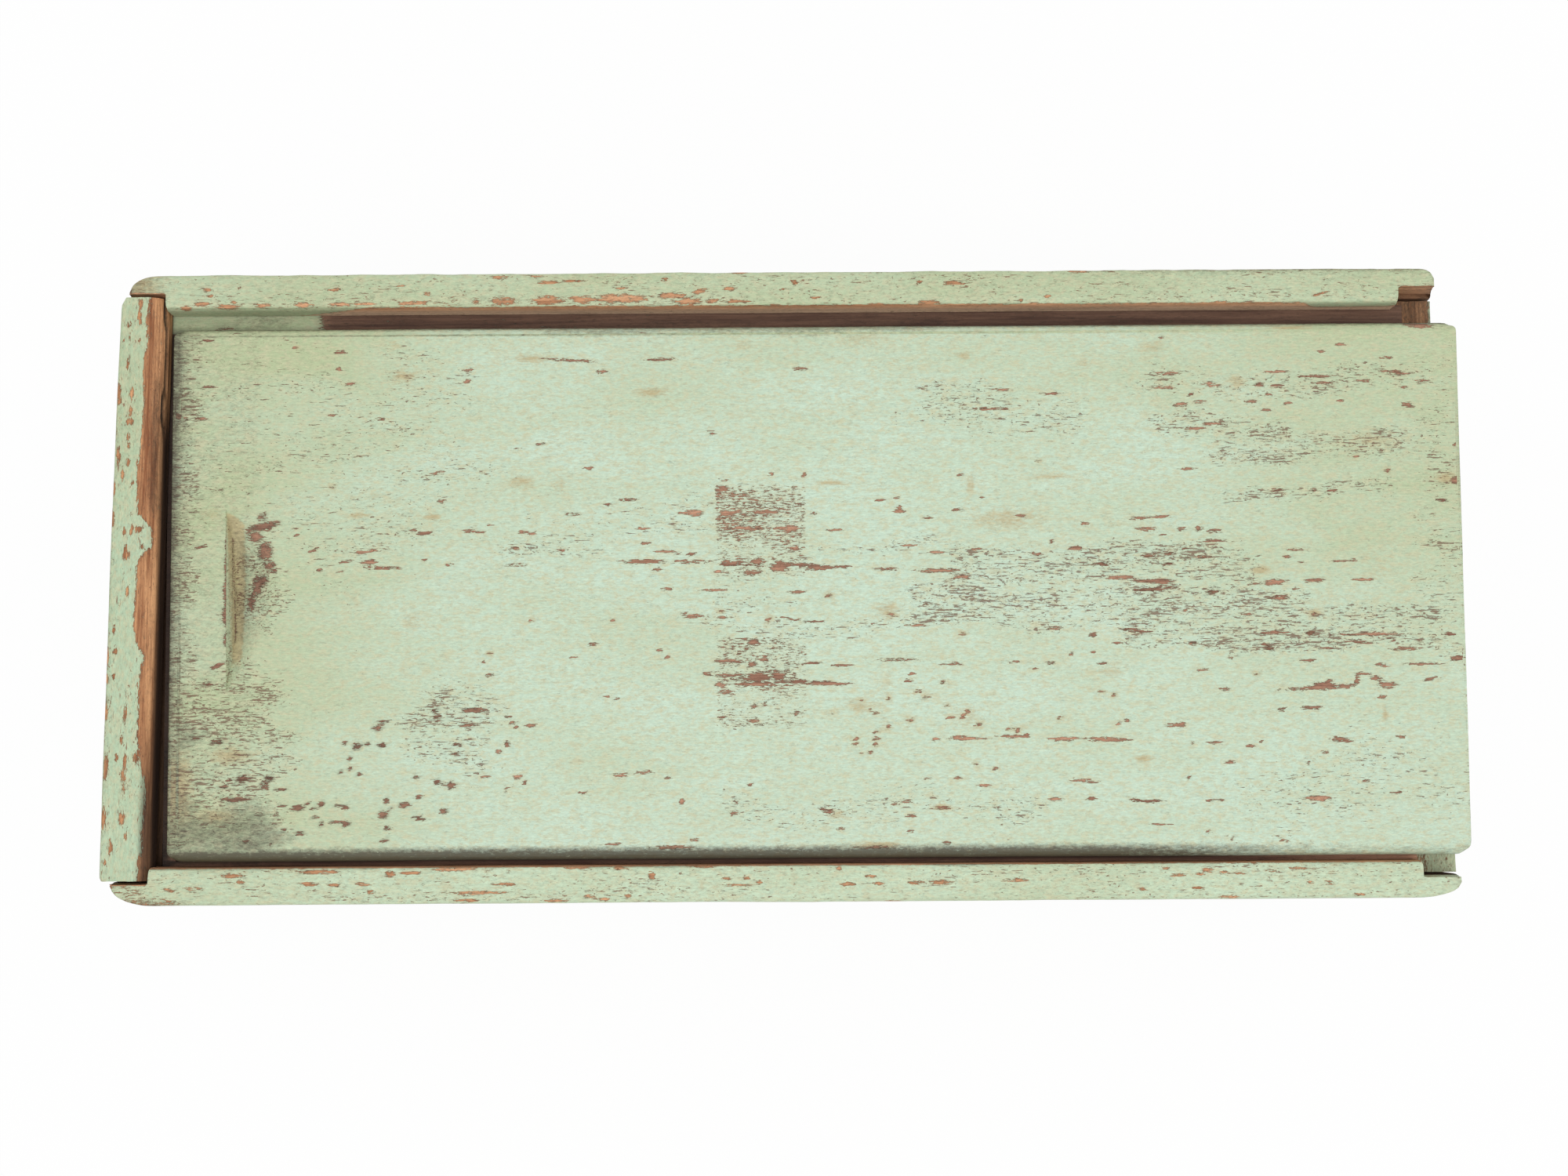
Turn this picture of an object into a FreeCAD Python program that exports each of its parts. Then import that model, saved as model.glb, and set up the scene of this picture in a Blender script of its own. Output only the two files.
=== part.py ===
# Slide-lid storage box of nailed boards.
# Two long side boards are rabbeted at their ends and nailed over a tall end board and a low end board.
# A bottom board is nailed up under them. The lid runs in grooves and draws out over the low end.
# Millimetres. +X points to the low end, where the lid draws out, +Y to the rear side, +Z up.
# The origin is the middle of the underside.
import FreeCAD, Part
import math
import os

# ---- driving dimensions -------------------------------------------------------------------------
# Box
side_length = 331.0          # a side board, tip to tip, flush with the end boards
box_width = 156.0            # over both side boards
box_height = 108.0           # underside of the bottom board to the top of the sides
side_thickness = 9.5
end_thickness = 12.0
bottom_thickness = 8.0

# Rabbet at each end of a side board, as long as the end board is thick. It leaves the lip over the end grain
rabbet_depth = 4.0           # into the side board's thickness
end_board_gap = 0.5          # between an end board's end grain and the lip, each side

# Groove that the lid runs in
groove_drop = 7.0            # top of the side board down to the groove
groove_height = 3.8
groove_depth = 5.0           # into a side board
end_groove_depth = 4.5       # into the tall end board

# Lid
lid_thickness = 9.5
lid_lift = 0.3               # running gap under the lid
tongue_gap = 0.3             # running gap over the tongue
lid_side_play = 1.9          # tongue to groove bottom on each side, with the lid in the middle
lid_front_gap = 0.3          # what is left of that play at the front, where the lid lies
lid_edge_gap = 2.5           # lid's thick middle to the side boards, with the lid in the middle
lid_open_gap = 2.0           # the lid's nearest corner to the tall end board
lid_overhang = 1.2           # past the low end board, on the lid's middle line
lid_end_skew = 2.2           # how much further each end reaches at the rear edge than at the front
end_tongue_length = 3.2      # the tongue at the tall end
lid_tail_length = 11.2       # plain stretch without tongues at the low end
lid_edge_round = 2.8         # rounded top edges at the sides and at the tall end
lid_tail_round = 1.0         # rounded top edge at the low end
lid_corner_round = 3.0       # corners at the low end, seen from above
lid_closed_clearance = 0.3   # left to the tall end board when the lid is pushed home

# Thumbnail notch: a straight stop cut, and a gouge cut that slopes down to it
notch_setback = 13.4         # lid's end to the stop cut
notch_offset = 3.9           # its middle, to the rear of the lid's middle line
notch_length = 45.0          # along the stop cut
notch_reach = 12.9           # stop cut to the shallow tip, along the gouge
notch_depth = 3.6            # at the foot of the stop cut
notch_wall_lean = 2.2        # the stop cut's foot, in from its rim
notch_turn = 1.6             # of the whole notch, degrees about +Z
gouge_skew = 19.0            # of the gouge cut against square to the stop cut, degrees about +Z

# Worn edges
tip_wear_length = 3.0        # top corner of each lip, worn back along the side board
tip_wear_height = 14.0       # and down its end
side_arris_round = 0.9       # top edges of the side boards
side_corner_round = 4.2      # upright outer corners of the side boards
tall_end_inner_round = 3.6   # top inner edge of the tall end board
end_arris_round = 1.0        # other top edges of the end boards
bottom_edge_round = 0.8      # upright corners of the bottom board

# Cut nails
nail_length = 28.0
nail_head_long = 4.6
nail_head_short = 3.0
nail_head_thickness = 1.0
nail_shank_long = 2.8        # just under the head
nail_shank_short = 1.8
nail_tip_long = 1.4
nail_sink = 0.3              # heads set below the surface
corner_nail_count = 3        # up each corner
corner_nail_margin = 14.0    # lowest corner nail above the bottom board, highest below the groove
bottom_nail_count = 6        # along each side
bottom_nail_margin = 10.0    # first and last of them, in from the rabbets
end_nail_count = 3           # along each end
end_nail_margin = 12.0       # the outer ones, in from the tips of the corner nails

# ---- places worked out from them ----------------------------------------------------------------
half_length = side_length / 2
half_width = box_width / 2
shoulder_x = half_length - end_thickness
inner_y = half_width - side_thickness
cheek_y = inner_y + rabbet_depth
groove_top = box_height - groove_drop
groove_floor = groove_top - groove_height
end_board_length = 2 * (cheek_y - end_board_gap)

lip_thickness = side_thickness - rabbet_depth
corner_round = min(side_corner_round, 0.8 * lip_thickness)

lid_bottom = groove_floor + lid_lift
lid_top = lid_bottom + lid_thickness
tongue_top = groove_top - tongue_gap
lid_middle_y = lid_front_gap - lid_side_play
lid_half_width = inner_y - lid_edge_gap
tongue_half_width = inner_y + groove_depth - lid_side_play
lid_left_x = -shoulder_x + lid_open_gap + lid_end_skew / 2
lid_right_x = half_length + lid_overhang
tongue_right_x = lid_right_x - lid_tail_length
skew_slope = lid_end_skew / (2 * lid_half_width)

V = FreeCAD.Vector
UP = V(0, 0, 1)
CUT_MARGIN = 1.0             # how far a cutting tool runs past the wood that it cuts


# ---- helpers ------------------------------------------------------------------------------------
def block(low, high):
    """A box between two corners."""
    return Part.makeBox(high[0] - low[0], high[1] - low[1], high[2] - low[2], V(*low))


def plate(outline, low_z, high_z):
    """A flat plate with the given outline."""
    corners = [V(x, y, low_z) for x, y in outline]
    face = Part.Face(Part.makePolygon(corners + corners[:1]))
    return face.extrude(V(0, 0, high_z - low_z))


def upright(edge):
    """True for an edge that runs along Z."""
    box = edge.BoundBox
    return box.ZLength > box.XLength + box.YLength


def at_height(edge, height):
    """True for an edge that lies level at the given height."""
    box = edge.BoundBox
    return abs(box.ZMin - height) < 0.01 and abs(box.ZMax - height) < 0.01


def rounded(solid, radius, wanted):
    """Round the edges for which wanted(edge) is true."""
    edges = [edge for edge in solid.Edges if wanted(edge)]
    return solid.makeFillet(radius, edges)


def spread(count, first, last):
    """Evenly spaced places from first to last."""
    step = (last - first) / (count - 1)
    return [first + step * index for index in range(count)]


# ---- nails --------------------------------------------------------------------------------------
def rectangle(length, width, height):
    """A level rectangular wire about the Z axis."""
    half_l = length / 2
    half_w = width / 2
    ring = [(-half_l, -half_w), (half_l, -half_w), (half_l, half_w), (-half_l, half_w)]
    corners = [V(x, y, height) for x, y in ring]
    return Part.makePolygon(corners + corners[:1])


def nail_pattern():
    """A cut nail that points along +Z, its head's outer face at the origin."""
    head = block((-nail_head_long / 2, -nail_head_short / 2, 0),
                 (nail_head_long / 2, nail_head_short / 2, nail_head_thickness))
    root = rectangle(nail_shank_long, nail_shank_short, nail_head_thickness)
    tip = rectangle(nail_tip_long, nail_shank_short, nail_length)
    shank = Part.makeLoft([root, tip], True, True)
    return head.fuse(shank).removeSplitter()


def recess_pattern():
    """The punched recess over a nail's head."""
    return block((-nail_head_long / 2, -nail_head_short / 2, -nail_sink - CUT_MARGIN),
                 (nail_head_long / 2, nail_head_short / 2, 0))


def nail_place(point, turn_axis, turn_degrees):
    return FreeCAD.Placement(V(*point), FreeCAD.Rotation(turn_axis, turn_degrees))


def corner_nail_places(end_sign, side_sign):
    """Nails through a side board's lip into the end grain of an end board."""
    x = end_sign * (shoulder_x + end_thickness / 2)
    y = side_sign * (half_width - nail_sink)
    heights = spread(corner_nail_count, bottom_thickness + corner_nail_margin,
                     groove_floor - corner_nail_margin)
    return [nail_place((x, y, z), V(1, 0, 0), 90 * side_sign) for z in heights]


def bottom_side_nail_places(side_sign):
    """Nails up through the bottom board into a side board."""
    reach = shoulder_x - bottom_nail_margin
    y = side_sign * (half_width - side_thickness / 2)
    return [nail_place((x, y, nail_sink), UP, 0) for x in spread(bottom_nail_count, -reach, reach)]


def bottom_end_nail_places(end_sign):
    """Nails up through the bottom board into an end board."""
    reach = half_width - nail_length - end_nail_margin
    x = end_sign * (shoulder_x + end_thickness / 2)
    return [nail_place((x, y, nail_sink), UP, 90) for y in spread(end_nail_count, -reach, reach)]


NAIL_ROWS = {
    "nails_tall_end_rear": corner_nail_places(-1, 1),
    "nails_tall_end_front": corner_nail_places(-1, -1),
    "nails_low_end_rear": corner_nail_places(1, 1),
    "nails_low_end_front": corner_nail_places(1, -1),
    "nails_bottom_rear": bottom_side_nail_places(1),
    "nails_bottom_front": bottom_side_nail_places(-1),
    "nails_bottom_tall_end": bottom_end_nail_places(-1),
    "nails_bottom_low_end": bottom_end_nail_places(1),
}


def nail_solids(row, pattern):
    """A copy of the pattern at each place of a row."""
    solids = []
    for place in NAIL_ROWS[row]:
        solid = pattern.copy()
        solid.Placement = place
        solids.append(solid)
    return solids


def nailed(board, rows):
    """Cut the nails' holes and the recesses over their heads."""
    hole = nail_pattern()
    recess = recess_pattern()
    cutters = []
    for row in rows:
        cutters += nail_solids(row, hole)
        cutters += nail_solids(row, recess)
    return board.cut(Part.makeCompound(cutters))


# ---- boards -------------------------------------------------------------------------------------
def worn_tip(end_sign):
    """The wedge worn off the top corner of a lip, the whole width of the box across."""
    tip_x = end_sign * half_length
    profile = [V(tip_x - end_sign * tip_wear_length, -box_width, box_height),
               V(tip_x, -box_width, box_height - tip_wear_height),
               V(tip_x + end_sign * CUT_MARGIN, -box_width, box_height - tip_wear_height),
               V(tip_x + end_sign * CUT_MARGIN, -box_width, box_height + CUT_MARGIN),
               V(tip_x - end_sign * tip_wear_length, -box_width, box_height + CUT_MARGIN)]
    return Part.Face(Part.makePolygon(profile + profile[:1])).extrude(V(0, 2 * box_width, 0))


def side_board(side_sign, rows):
    """A side board with an end rabbet at both ends and the lid groove along its inner face."""
    outer_y = side_sign * half_width
    face_y = side_sign * inner_y
    low_y = min(outer_y, face_y)
    high_y = max(outer_y, face_y)
    board = block((-half_length, low_y, bottom_thickness), (half_length, high_y, box_height))
    cheek = side_sign * cheek_y
    past_face = face_y - side_sign * CUT_MARGIN
    for end_sign in (-1, 1):
        near_x = end_sign * shoulder_x
        far_x = end_sign * (half_length + CUT_MARGIN)
        board = board.cut(block(
            (min(near_x, far_x), min(past_face, cheek), bottom_thickness - CUT_MARGIN),
            (max(near_x, far_x), max(past_face, cheek), box_height + CUT_MARGIN)))
    board = rounded(board, corner_round,
                    lambda edge: upright(edge) and abs(edge.BoundBox.YMin - outer_y) < 0.01)
    board = rounded(board, side_arris_round,
                    lambda edge: at_height(edge, box_height) and edge.BoundBox.XLength > 2 * shoulder_x - 1)
    for end_sign in (-1, 1):
        board = board.cut(worn_tip(end_sign))
    groove_bottom = side_sign * (inner_y + groove_depth)
    board = board.cut(block(
        (-half_length - CUT_MARGIN, min(past_face, groove_bottom), groove_floor),
        (half_length + CUT_MARGIN, max(past_face, groove_bottom), groove_top)))
    return nailed(board, rows)


def end_board(end_sign, top):
    """An end board, seated on the rabbets' shoulders and on the bottom board."""
    near_x = end_sign * shoulder_x
    far_x = end_sign * half_length
    half = end_board_length / 2
    return block((min(near_x, far_x), -half, bottom_thickness), (max(near_x, far_x), half, top))


def tall_end_board():
    """The board that stops the lid, with the groove for the tongue on the lid's end."""
    board = end_board(-1, box_height)
    inner_x = -shoulder_x
    board = rounded(board, tall_end_inner_round,
                    lambda edge: at_height(edge, box_height) and abs(edge.BoundBox.XMax - inner_x) < 0.01
                    and edge.BoundBox.YLength > 1)
    board = rounded(board, end_arris_round,
                    lambda edge: at_height(edge, box_height) and abs(edge.BoundBox.XMin + half_length) < 0.01
                    and edge.BoundBox.YLength > 1)
    half = end_board_length / 2 + CUT_MARGIN
    board = board.cut(block((inner_x - end_groove_depth, -half, groove_floor),
                            (inner_x + CUT_MARGIN, half, groove_top)))
    return nailed(board, ["nails_tall_end_rear", "nails_tall_end_front", "nails_bottom_tall_end"])


def low_end_board():
    """The board that the lid slides over. Its top is level with the floor of the grooves."""
    board = end_board(1, groove_floor)
    board = rounded(board, end_arris_round,
                    lambda edge: at_height(edge, groove_floor) and edge.BoundBox.YLength > 1)
    return nailed(board, ["nails_low_end_rear", "nails_low_end_front", "nails_bottom_low_end"])


def bottom_board():
    """The board nailed up under the sides and the ends."""
    board = block((-half_length, -half_width, 0), (half_length, half_width, bottom_thickness))
    board = rounded(board, bottom_edge_round, upright)
    rows = [row for row in NAIL_ROWS if row.startswith("nails_bottom")]
    return nailed(board, rows)


# ---- lid ----------------------------------------------------------------------------------------
def lid_end_x(middle_x, end_sign, y):
    """X of a lid end at height y across the lid: both ends reach further out at the rear edge."""
    return middle_x + end_sign * skew_slope * (y - lid_middle_y)


def lid_outline(half, left_x, right_x, right_skewed):
    """Corners of the lid or its tongues, anticlockwise from the front corner at the tall end."""
    front = lid_middle_y - half
    rear = lid_middle_y + half
    right_front = lid_end_x(right_x, 1, front) if right_skewed else right_x
    right_rear = lid_end_x(right_x, 1, rear) if right_skewed else right_x
    return [(lid_end_x(left_x, -1, front), front), (right_front, front),
            (right_rear, rear), (lid_end_x(left_x, -1, rear), rear)]


def notch_tool():
    """What the gouge and the stop cut take out of the lid's top, for a lid end at x = 0, y = 0."""
    slope = math.atan2(notch_depth, notch_reach)
    drop = notch_depth * math.cos(slope)
    half_span = notch_length / 2 * math.cos(math.radians(gouge_skew))
    gouge_radius = (half_span ** 2 + drop ** 2) / (2 * drop)
    run = V(-math.cos(slope), 0, -math.sin(slope))
    lift = V(-math.sin(slope), 0, math.cos(slope))
    tip = V(notch_setback + notch_reach, 0, lid_top)
    start = tip - run * notch_reach + lift * gouge_radius
    gouge = Part.makeCylinder(gouge_radius, 3 * notch_reach, start, run)
    gouge.rotate(V(notch_setback, 0, 0), UP, gouge_skew)
    foot = (notch_setback + notch_wall_lean, lid_top - notch_depth)
    lean = notch_wall_lean / notch_depth
    below = 2 * notch_depth
    keep = [V(foot[0] + lean * below, 0, foot[1] - below), V(notch_setback - lean, 0, lid_top + CUT_MARGIN),
            V(notch_setback + 4 * notch_reach, 0, lid_top + CUT_MARGIN),
            V(notch_setback + 4 * notch_reach, 0, foot[1] - below)]
    keep = [point - V(0, notch_length, 0) for point in keep]
    slab = Part.Face(Part.makePolygon(keep + keep[:1])).extrude(V(0, 2 * notch_length, 0))
    return gouge.common(slab)


def lid_field():
    """The lid's thick middle: well rounded on three edges, sharper round the low end."""
    past_end = lid_right_x + lid_corner_round
    runner = plate(lid_outline(lid_half_width, lid_left_x, past_end, True), lid_bottom, lid_top)
    runner = rounded(runner, lid_edge_round,
                     lambda edge: at_height(edge, lid_top)
                     and (edge.BoundBox.XLength > side_length / 2 or edge.BoundBox.XMax < 0))
    tail = plate(lid_outline(lid_half_width, lid_left_x, lid_right_x, True), lid_bottom, lid_top)
    tail = rounded(tail, lid_corner_round, lambda edge: upright(edge) and edge.BoundBox.XMin > 0)
    tail = rounded(tail, lid_tail_round,
                   lambda edge: at_height(edge, lid_top) and edge.BoundBox.XMin > tongue_right_x)
    return runner.common(tail)


def sliding_lid():
    """The lid: its thick middle, thin tongues low on three edges, and the notch."""
    tongues = plate(lid_outline(tongue_half_width, lid_left_x - end_tongue_length, tongue_right_x, False),
                    lid_bottom, tongue_top)
    lid = lid_field().fuse(tongues).removeSplitter()
    tool = notch_tool()
    tool.rotate(V(notch_setback, 0, 0), UP, notch_turn)
    tool.translate(V(lid_left_x, lid_middle_y + notch_offset, 0))
    return lid.cut(tool)


# ---- build and export ---------------------------------------------------------------------------
def main():
    os.makedirs("parts", exist_ok=True)
    shapes = {
        "side_board_rear": side_board(1, ["nails_tall_end_rear", "nails_low_end_rear", "nails_bottom_rear"]),
        "side_board_front": side_board(-1, ["nails_tall_end_front", "nails_low_end_front",
                                            "nails_bottom_front"]),
        "tall_end_board": tall_end_board(),
        "low_end_board": low_end_board(),
        "bottom_board": bottom_board(),
        "sliding_lid": sliding_lid(),
    }
    pattern = nail_pattern()
    for row in NAIL_ROWS:
        shapes[row] = Part.makeCompound(nail_solids(row, pattern))
    for node, shape in shapes.items():
        shape.exportStep("parts/" + node + ".step")
        print(node, "solids", len(shape.Solids), "volume", round(shape.Volume, 1), "valid", shape.isValid())
    closing_travel = lid_open_gap - lid_closed_clearance
    drawing_travel = half_length - (lid_left_x - end_tongue_length - lid_end_skew)
    print("lid travel: closes by", closing_travel, "and is clear of the box at", round(drawing_travel, 1))


main()
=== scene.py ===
"""Looks of a slide-lid box: nailed boards and a sliding lid in old green oil paint.

Lengths are written in millimetres and turned to metres by MM. X runs along the box to the low end,
where the lid draws out, Y goes to the rear and Z up.
"""
import math

import bpy
import numpy as np
from mathutils import Matrix, Vector


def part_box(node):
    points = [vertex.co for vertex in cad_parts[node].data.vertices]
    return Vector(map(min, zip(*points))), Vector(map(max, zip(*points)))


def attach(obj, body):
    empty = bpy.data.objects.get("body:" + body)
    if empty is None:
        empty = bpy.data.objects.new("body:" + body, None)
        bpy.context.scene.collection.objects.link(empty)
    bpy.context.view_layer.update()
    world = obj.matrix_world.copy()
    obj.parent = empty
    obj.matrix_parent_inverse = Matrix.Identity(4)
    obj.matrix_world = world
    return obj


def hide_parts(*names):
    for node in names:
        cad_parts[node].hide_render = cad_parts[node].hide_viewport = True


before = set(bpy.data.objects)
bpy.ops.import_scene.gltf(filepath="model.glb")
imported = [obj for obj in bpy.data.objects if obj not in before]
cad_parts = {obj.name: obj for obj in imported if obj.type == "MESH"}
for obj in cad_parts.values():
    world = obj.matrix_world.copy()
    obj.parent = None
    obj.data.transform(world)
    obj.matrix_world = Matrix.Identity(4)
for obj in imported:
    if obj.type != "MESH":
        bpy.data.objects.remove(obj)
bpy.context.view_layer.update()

MM = 0.001
X, Y, Z = range(3)


# ---- places taken from the frame ---------------------------------------------------------------
def corners(node):
    """Lowest and highest corner of a frame node, in millimetres."""
    low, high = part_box(node)
    return low / MM, high / MM


TALL_END = corners("tall_end_board")
LOW_END = corners("low_end_board")
LID = corners("sliding_lid")
SIDE = corners("side_board_rear")
BASE = corners("bottom_board")

TOP = SIDE[1].z                  # top of the side boards
FOOT = SIDE[0].z                 # their lower edges
SHOULDER = LOW_END[0].x          # shoulders of the rabbets, from the middle of the box
TIP = SIDE[1].x                  # tips of the side boards
INNER = SIDE[0].y                # inner faces of the side boards
OUTER = SIDE[1].y                # and their outer faces
CHEEK = INNER + 4.0              # inner faces of the lips, left by the rabbets
GROOVE_FLOOR = LOW_END[1].z
GROOVE_TOP = GROOVE_FLOOR + 3.8
GROOVE_DEPTH = 5.0               # in the side boards
END_GROOVE_DEPTH = 4.5           # in the tall end board
LID_TOP = LID[1].z
LID_EDGES = (-67.6, 64.4)        # front and rear edge of the lid's thick middle
LID_ENDS = (-150.4, 166.7)       # its ends, on its middle line
LID_MIDDLE = sum(LID_EDGES) / 2
LID_SKEW = 2.2 / (LID_EDGES[1] - LID_EDGES[0])   # how far the ends lean, per millimetre across
TONGUE_TOP = GROOVE_TOP - 0.3
TONGUE_END = 155.5               # where the side tongues stop, short of the low end
SIDE_TONGUE = 5.6                # how far the tongues stand out at the sides
END_TONGUE = 3.2                 # and at the tall end
NAIL_HEAD = (4.6, 3.0)           # length and width of a nail's head,
NAIL_NECK = (2.8, 1.8)           # and of its shank close under the head
HEAD_THICKNESS = 1.0             # of that head
NAIL_SHANK = 9.0                 # length of the shank
NAIL_SINK = 0.65                 # nail heads lie this far below the unworn faces


# ---- making and shaping ------------------------------------------------------------------------
SAME = 0.01                      # two places nearer than this are one
MOST_CUTS = 100                  # that one subdivision makes
SMOOTH_UP_TO = math.radians(32)  # creases sharper than this stay sharp


def activate(piece):
    """Makes the piece the only selected object."""
    bpy.ops.object.select_all(action="DESELECT")
    piece.select_set(True)
    bpy.context.view_layer.objects.active = piece


def block(name, low, high):
    """A block of wood between two corners."""
    bpy.ops.object.select_all(action="DESELECT")
    size = [abs(b - a) * MM for a, b in zip(low, high)]
    middle = [(a + b) / 2 * MM for a, b in zip(low, high)]
    bpy.ops.mesh.primitive_cube_add(size=1, location=middle, scale=size)
    piece = bpy.context.object
    bpy.ops.object.transform_apply(location=True, rotation=False, scale=True)
    piece.name = name
    piece.data.name = name
    return piece


def apply(piece, modifier):
    """Applies one of the piece's modifiers."""
    activate(piece)
    bpy.ops.object.modifier_apply(modifier=modifier.name)


def carve(piece, cutter):
    """Takes the cutter's shape out of the piece."""
    modifier = piece.modifiers.new("carve", "BOOLEAN")
    modifier.operation = "DIFFERENCE"
    modifier.solver = "EXACT"
    modifier.object = cutter
    apply(piece, modifier)
    bpy.data.objects.remove(cutter)


def slice_at(piece, axis, places):
    """An edge loop round the piece at each place along an axis."""
    activate(piece)
    bpy.ops.object.mode_set(mode="EDIT")
    for place in places:
        point = [0, 0, 0]
        normal = [0, 0, 0]
        point[axis] = place * MM
        normal[axis] = 1
        bpy.ops.mesh.select_all(action="SELECT")
        bpy.ops.mesh.bisect(plane_co=point, plane_no=normal)
    bpy.ops.object.mode_set(mode="OBJECT")


def points_of(piece):
    """The piece's vertices, in millimetres."""
    flat = np.empty(len(piece.data.vertices) * 3, np.float32)
    piece.data.vertices.foreach_get("co", flat)
    return flat.reshape(-1, 3).astype(float) / MM


def move_points(piece, points):
    """Puts the piece's vertices at these places, in millimetres."""
    piece.data.vertices.foreach_set("co", (points * MM).astype(np.float32).ravel())
    piece.data.update()


def edge_ends(piece):
    """Both ends of every edge, in millimetres."""
    flat = np.empty(len(piece.data.edges) * 2, np.int32)
    piece.data.edges.foreach_get("vertices", flat)
    pairs = flat.reshape(-1, 2)
    points = points_of(piece)
    return points[pairs[:, 0]], points[pairs[:, 1]]


def face_middles(piece):
    """The middle of every face, in millimetres."""
    flat = np.empty(len(piece.data.polygons) * 3, np.float32)
    piece.data.polygons.foreach_get("center", flat)
    return flat.reshape(-1, 3).astype(float) / MM


def edit(piece, kind, chosen):
    """Opens the piece in edit mode with only the chosen edges or polygons selected."""
    mesh = piece.data
    for parts in (mesh.vertices, mesh.edges, mesh.polygons):
        parts.foreach_set("select", np.zeros(len(parts), bool))
    getattr(mesh, kind).foreach_set("select", chosen)
    bpy.context.tool_settings.mesh_select_mode = (False, kind == "edges", kind == "polygons")
    activate(piece)
    bpy.ops.object.mode_set(mode="EDIT")


def level_edges(axis, place, height):
    """Picks the edges of a level arris, where one coordinate and the height are fixed."""
    def wanted(start, end):
        held = np.abs(start[:, axis] - place) < SAME
        held &= np.abs(end[:, axis] - place) < SAME
        return held & (np.abs(start[:, Z] - height) < SAME) & (np.abs(end[:, Z] - height) < SAME)
    return wanted


def round_edges(piece, wanted, radius, segments=4):
    """Rounds the edges that wanted(start, end) picks."""
    edit(piece, "edges", wanted(*edge_ends(piece)))
    bpy.ops.mesh.bevel(offset=radius * MM, segments=segments, profile=0.5, affect="EDGES")
    bpy.ops.object.mode_set(mode="OBJECT")


def parallel_edges(piece, axis):
    """Which edges run along an axis, and where each starts and stops."""
    across = [other for other in range(3) if other != axis]
    start, end = edge_ends(piece)
    along = np.abs(start[:, across] - end[:, across]).max(axis=1) < SAME / 5
    near = np.minimum(start[:, axis], end[:, axis])
    far = np.maximum(start[:, axis], end[:, axis])
    return along, near, far


def add_loops(piece, axis, spacing, low=-1000.0, high=1000.0):
    """Edge loops at about that spacing, between low and high along an axis.

    The longest edges are cut first, and very long ones in two steps, because one step makes at most
    a hundred cuts.
    """
    while True:
        along, near, far = parallel_edges(piece, axis)
        along &= (near > low - SAME) & (far < high + SAME)
        cuts = np.where(along, np.ceil(np.round(far - near, 2) / spacing - SAME) - 1, 0)
        most = int(cuts.max())
        if most < 1:
            return
        edit(piece, "edges", cuts == most)
        bpy.ops.mesh.subdivide(number_cuts=most if most <= MOST_CUTS else math.ceil(math.sqrt(most)))
        bpy.ops.object.mode_set(mode="OBJECT")


def thin_underside(piece, bottom, keep_every):
    """Takes out most loops of an underside, which is nearly flat."""
    for axis, across in ((X, Y), (Y, X)):
        along, _, _ = parallel_edges(piece, axis)
        start, end = edge_ends(piece)
        under = along & (start[:, Z] < bottom + SAME) & (end[:, Z] < bottom + SAME)
        places = sorted(set(np.round(start[under, across], 2)))
        kept = np.array(places[::keep_every] + places[-1:])
        away = np.abs(np.round(start[:, across], 2)[:, None] - kept[None, :]).min(axis=1)
        edit(piece, "edges", under & (away > SAME / 2))
        bpy.ops.mesh.dissolve_edges(use_verts=True)
        bpy.ops.object.mode_set(mode="OBJECT")


def extrude_faces(piece, wanted, way):
    """Draws the faces that wanted(middle) picks out of the piece."""
    edit(piece, "polygons", wanted(face_middles(piece)))
    bpy.ops.mesh.extrude_region_move(TRANSFORM_OT_translate={"value": Vector(way) * MM})
    bpy.ops.object.mode_set(mode="OBJECT")


def weather(piece, depth, size, stretch, weights=None):
    """Wears the surface down by up to depth, in hollows of that size drawn out along each axis.

    Weights, from 0 to 1 for each vertex, keep the wear to where it belongs.
    """
    texture = bpy.data.textures.new(piece.name + "_weather", "CLOUDS")
    texture.noise_scale = size * MM
    texture.noise_depth = 3
    guide = bpy.data.objects.new("guide", None)
    guide.scale = stretch
    bpy.context.scene.collection.objects.link(guide)
    bpy.context.view_layer.update()
    modifier = piece.modifiers.new("weather", "DISPLACE")
    modifier.texture = texture
    modifier.texture_coords = "OBJECT"
    modifier.texture_coords_object = guide
    modifier.strength = depth * MM
    modifier.mid_level = 1.0
    if weights is not None:
        group = piece.vertex_groups.new(name="worn")
        for index in np.nonzero(weights > 0.02)[0]:
            group.add([int(index)], float(weights[index]), "REPLACE")
        modifier.vertex_group = "worn"
    apply(piece, modifier)
    piece.vertex_groups.clear()
    bpy.data.objects.remove(guide)


def finish_piece(piece, node, body):
    """Keeps the piece inside its node's box, smooths it, and lets it stand for the node."""
    low, high = corners(node)
    move_points(piece, np.clip(points_of(piece), low, high))
    activate(piece)
    bpy.ops.object.shade_smooth_by_angle(angle=SMOOTH_UP_TO)
    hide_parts(node)
    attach(piece, body)


def paint_on(piece, **layers):
    """Stores what the materials read: one number for each vertex and layer."""
    count = len(piece.data.vertices)
    for name, values in layers.items():
        layer = piece.data.attributes.new(name, "FLOAT", "POINT")
        layer.data.foreach_set("value", np.broadcast_to(values, count).astype(np.float32))


# ---- where surfaces are worn -------------------------------------------------------------------
def ease(value, start, end):
    """0 at start, 1 at end, and smooth between."""
    share = np.clip((value - start) / (end - start), 0.0, 1.0)
    return share * share * (3 - 2 * share)


def between(value, low, high, soft):
    """1 from low to high, with soft borders."""
    return ease(value, low - soft, low + soft) * (1 - ease(value, high - soft, high + soft))


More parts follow.
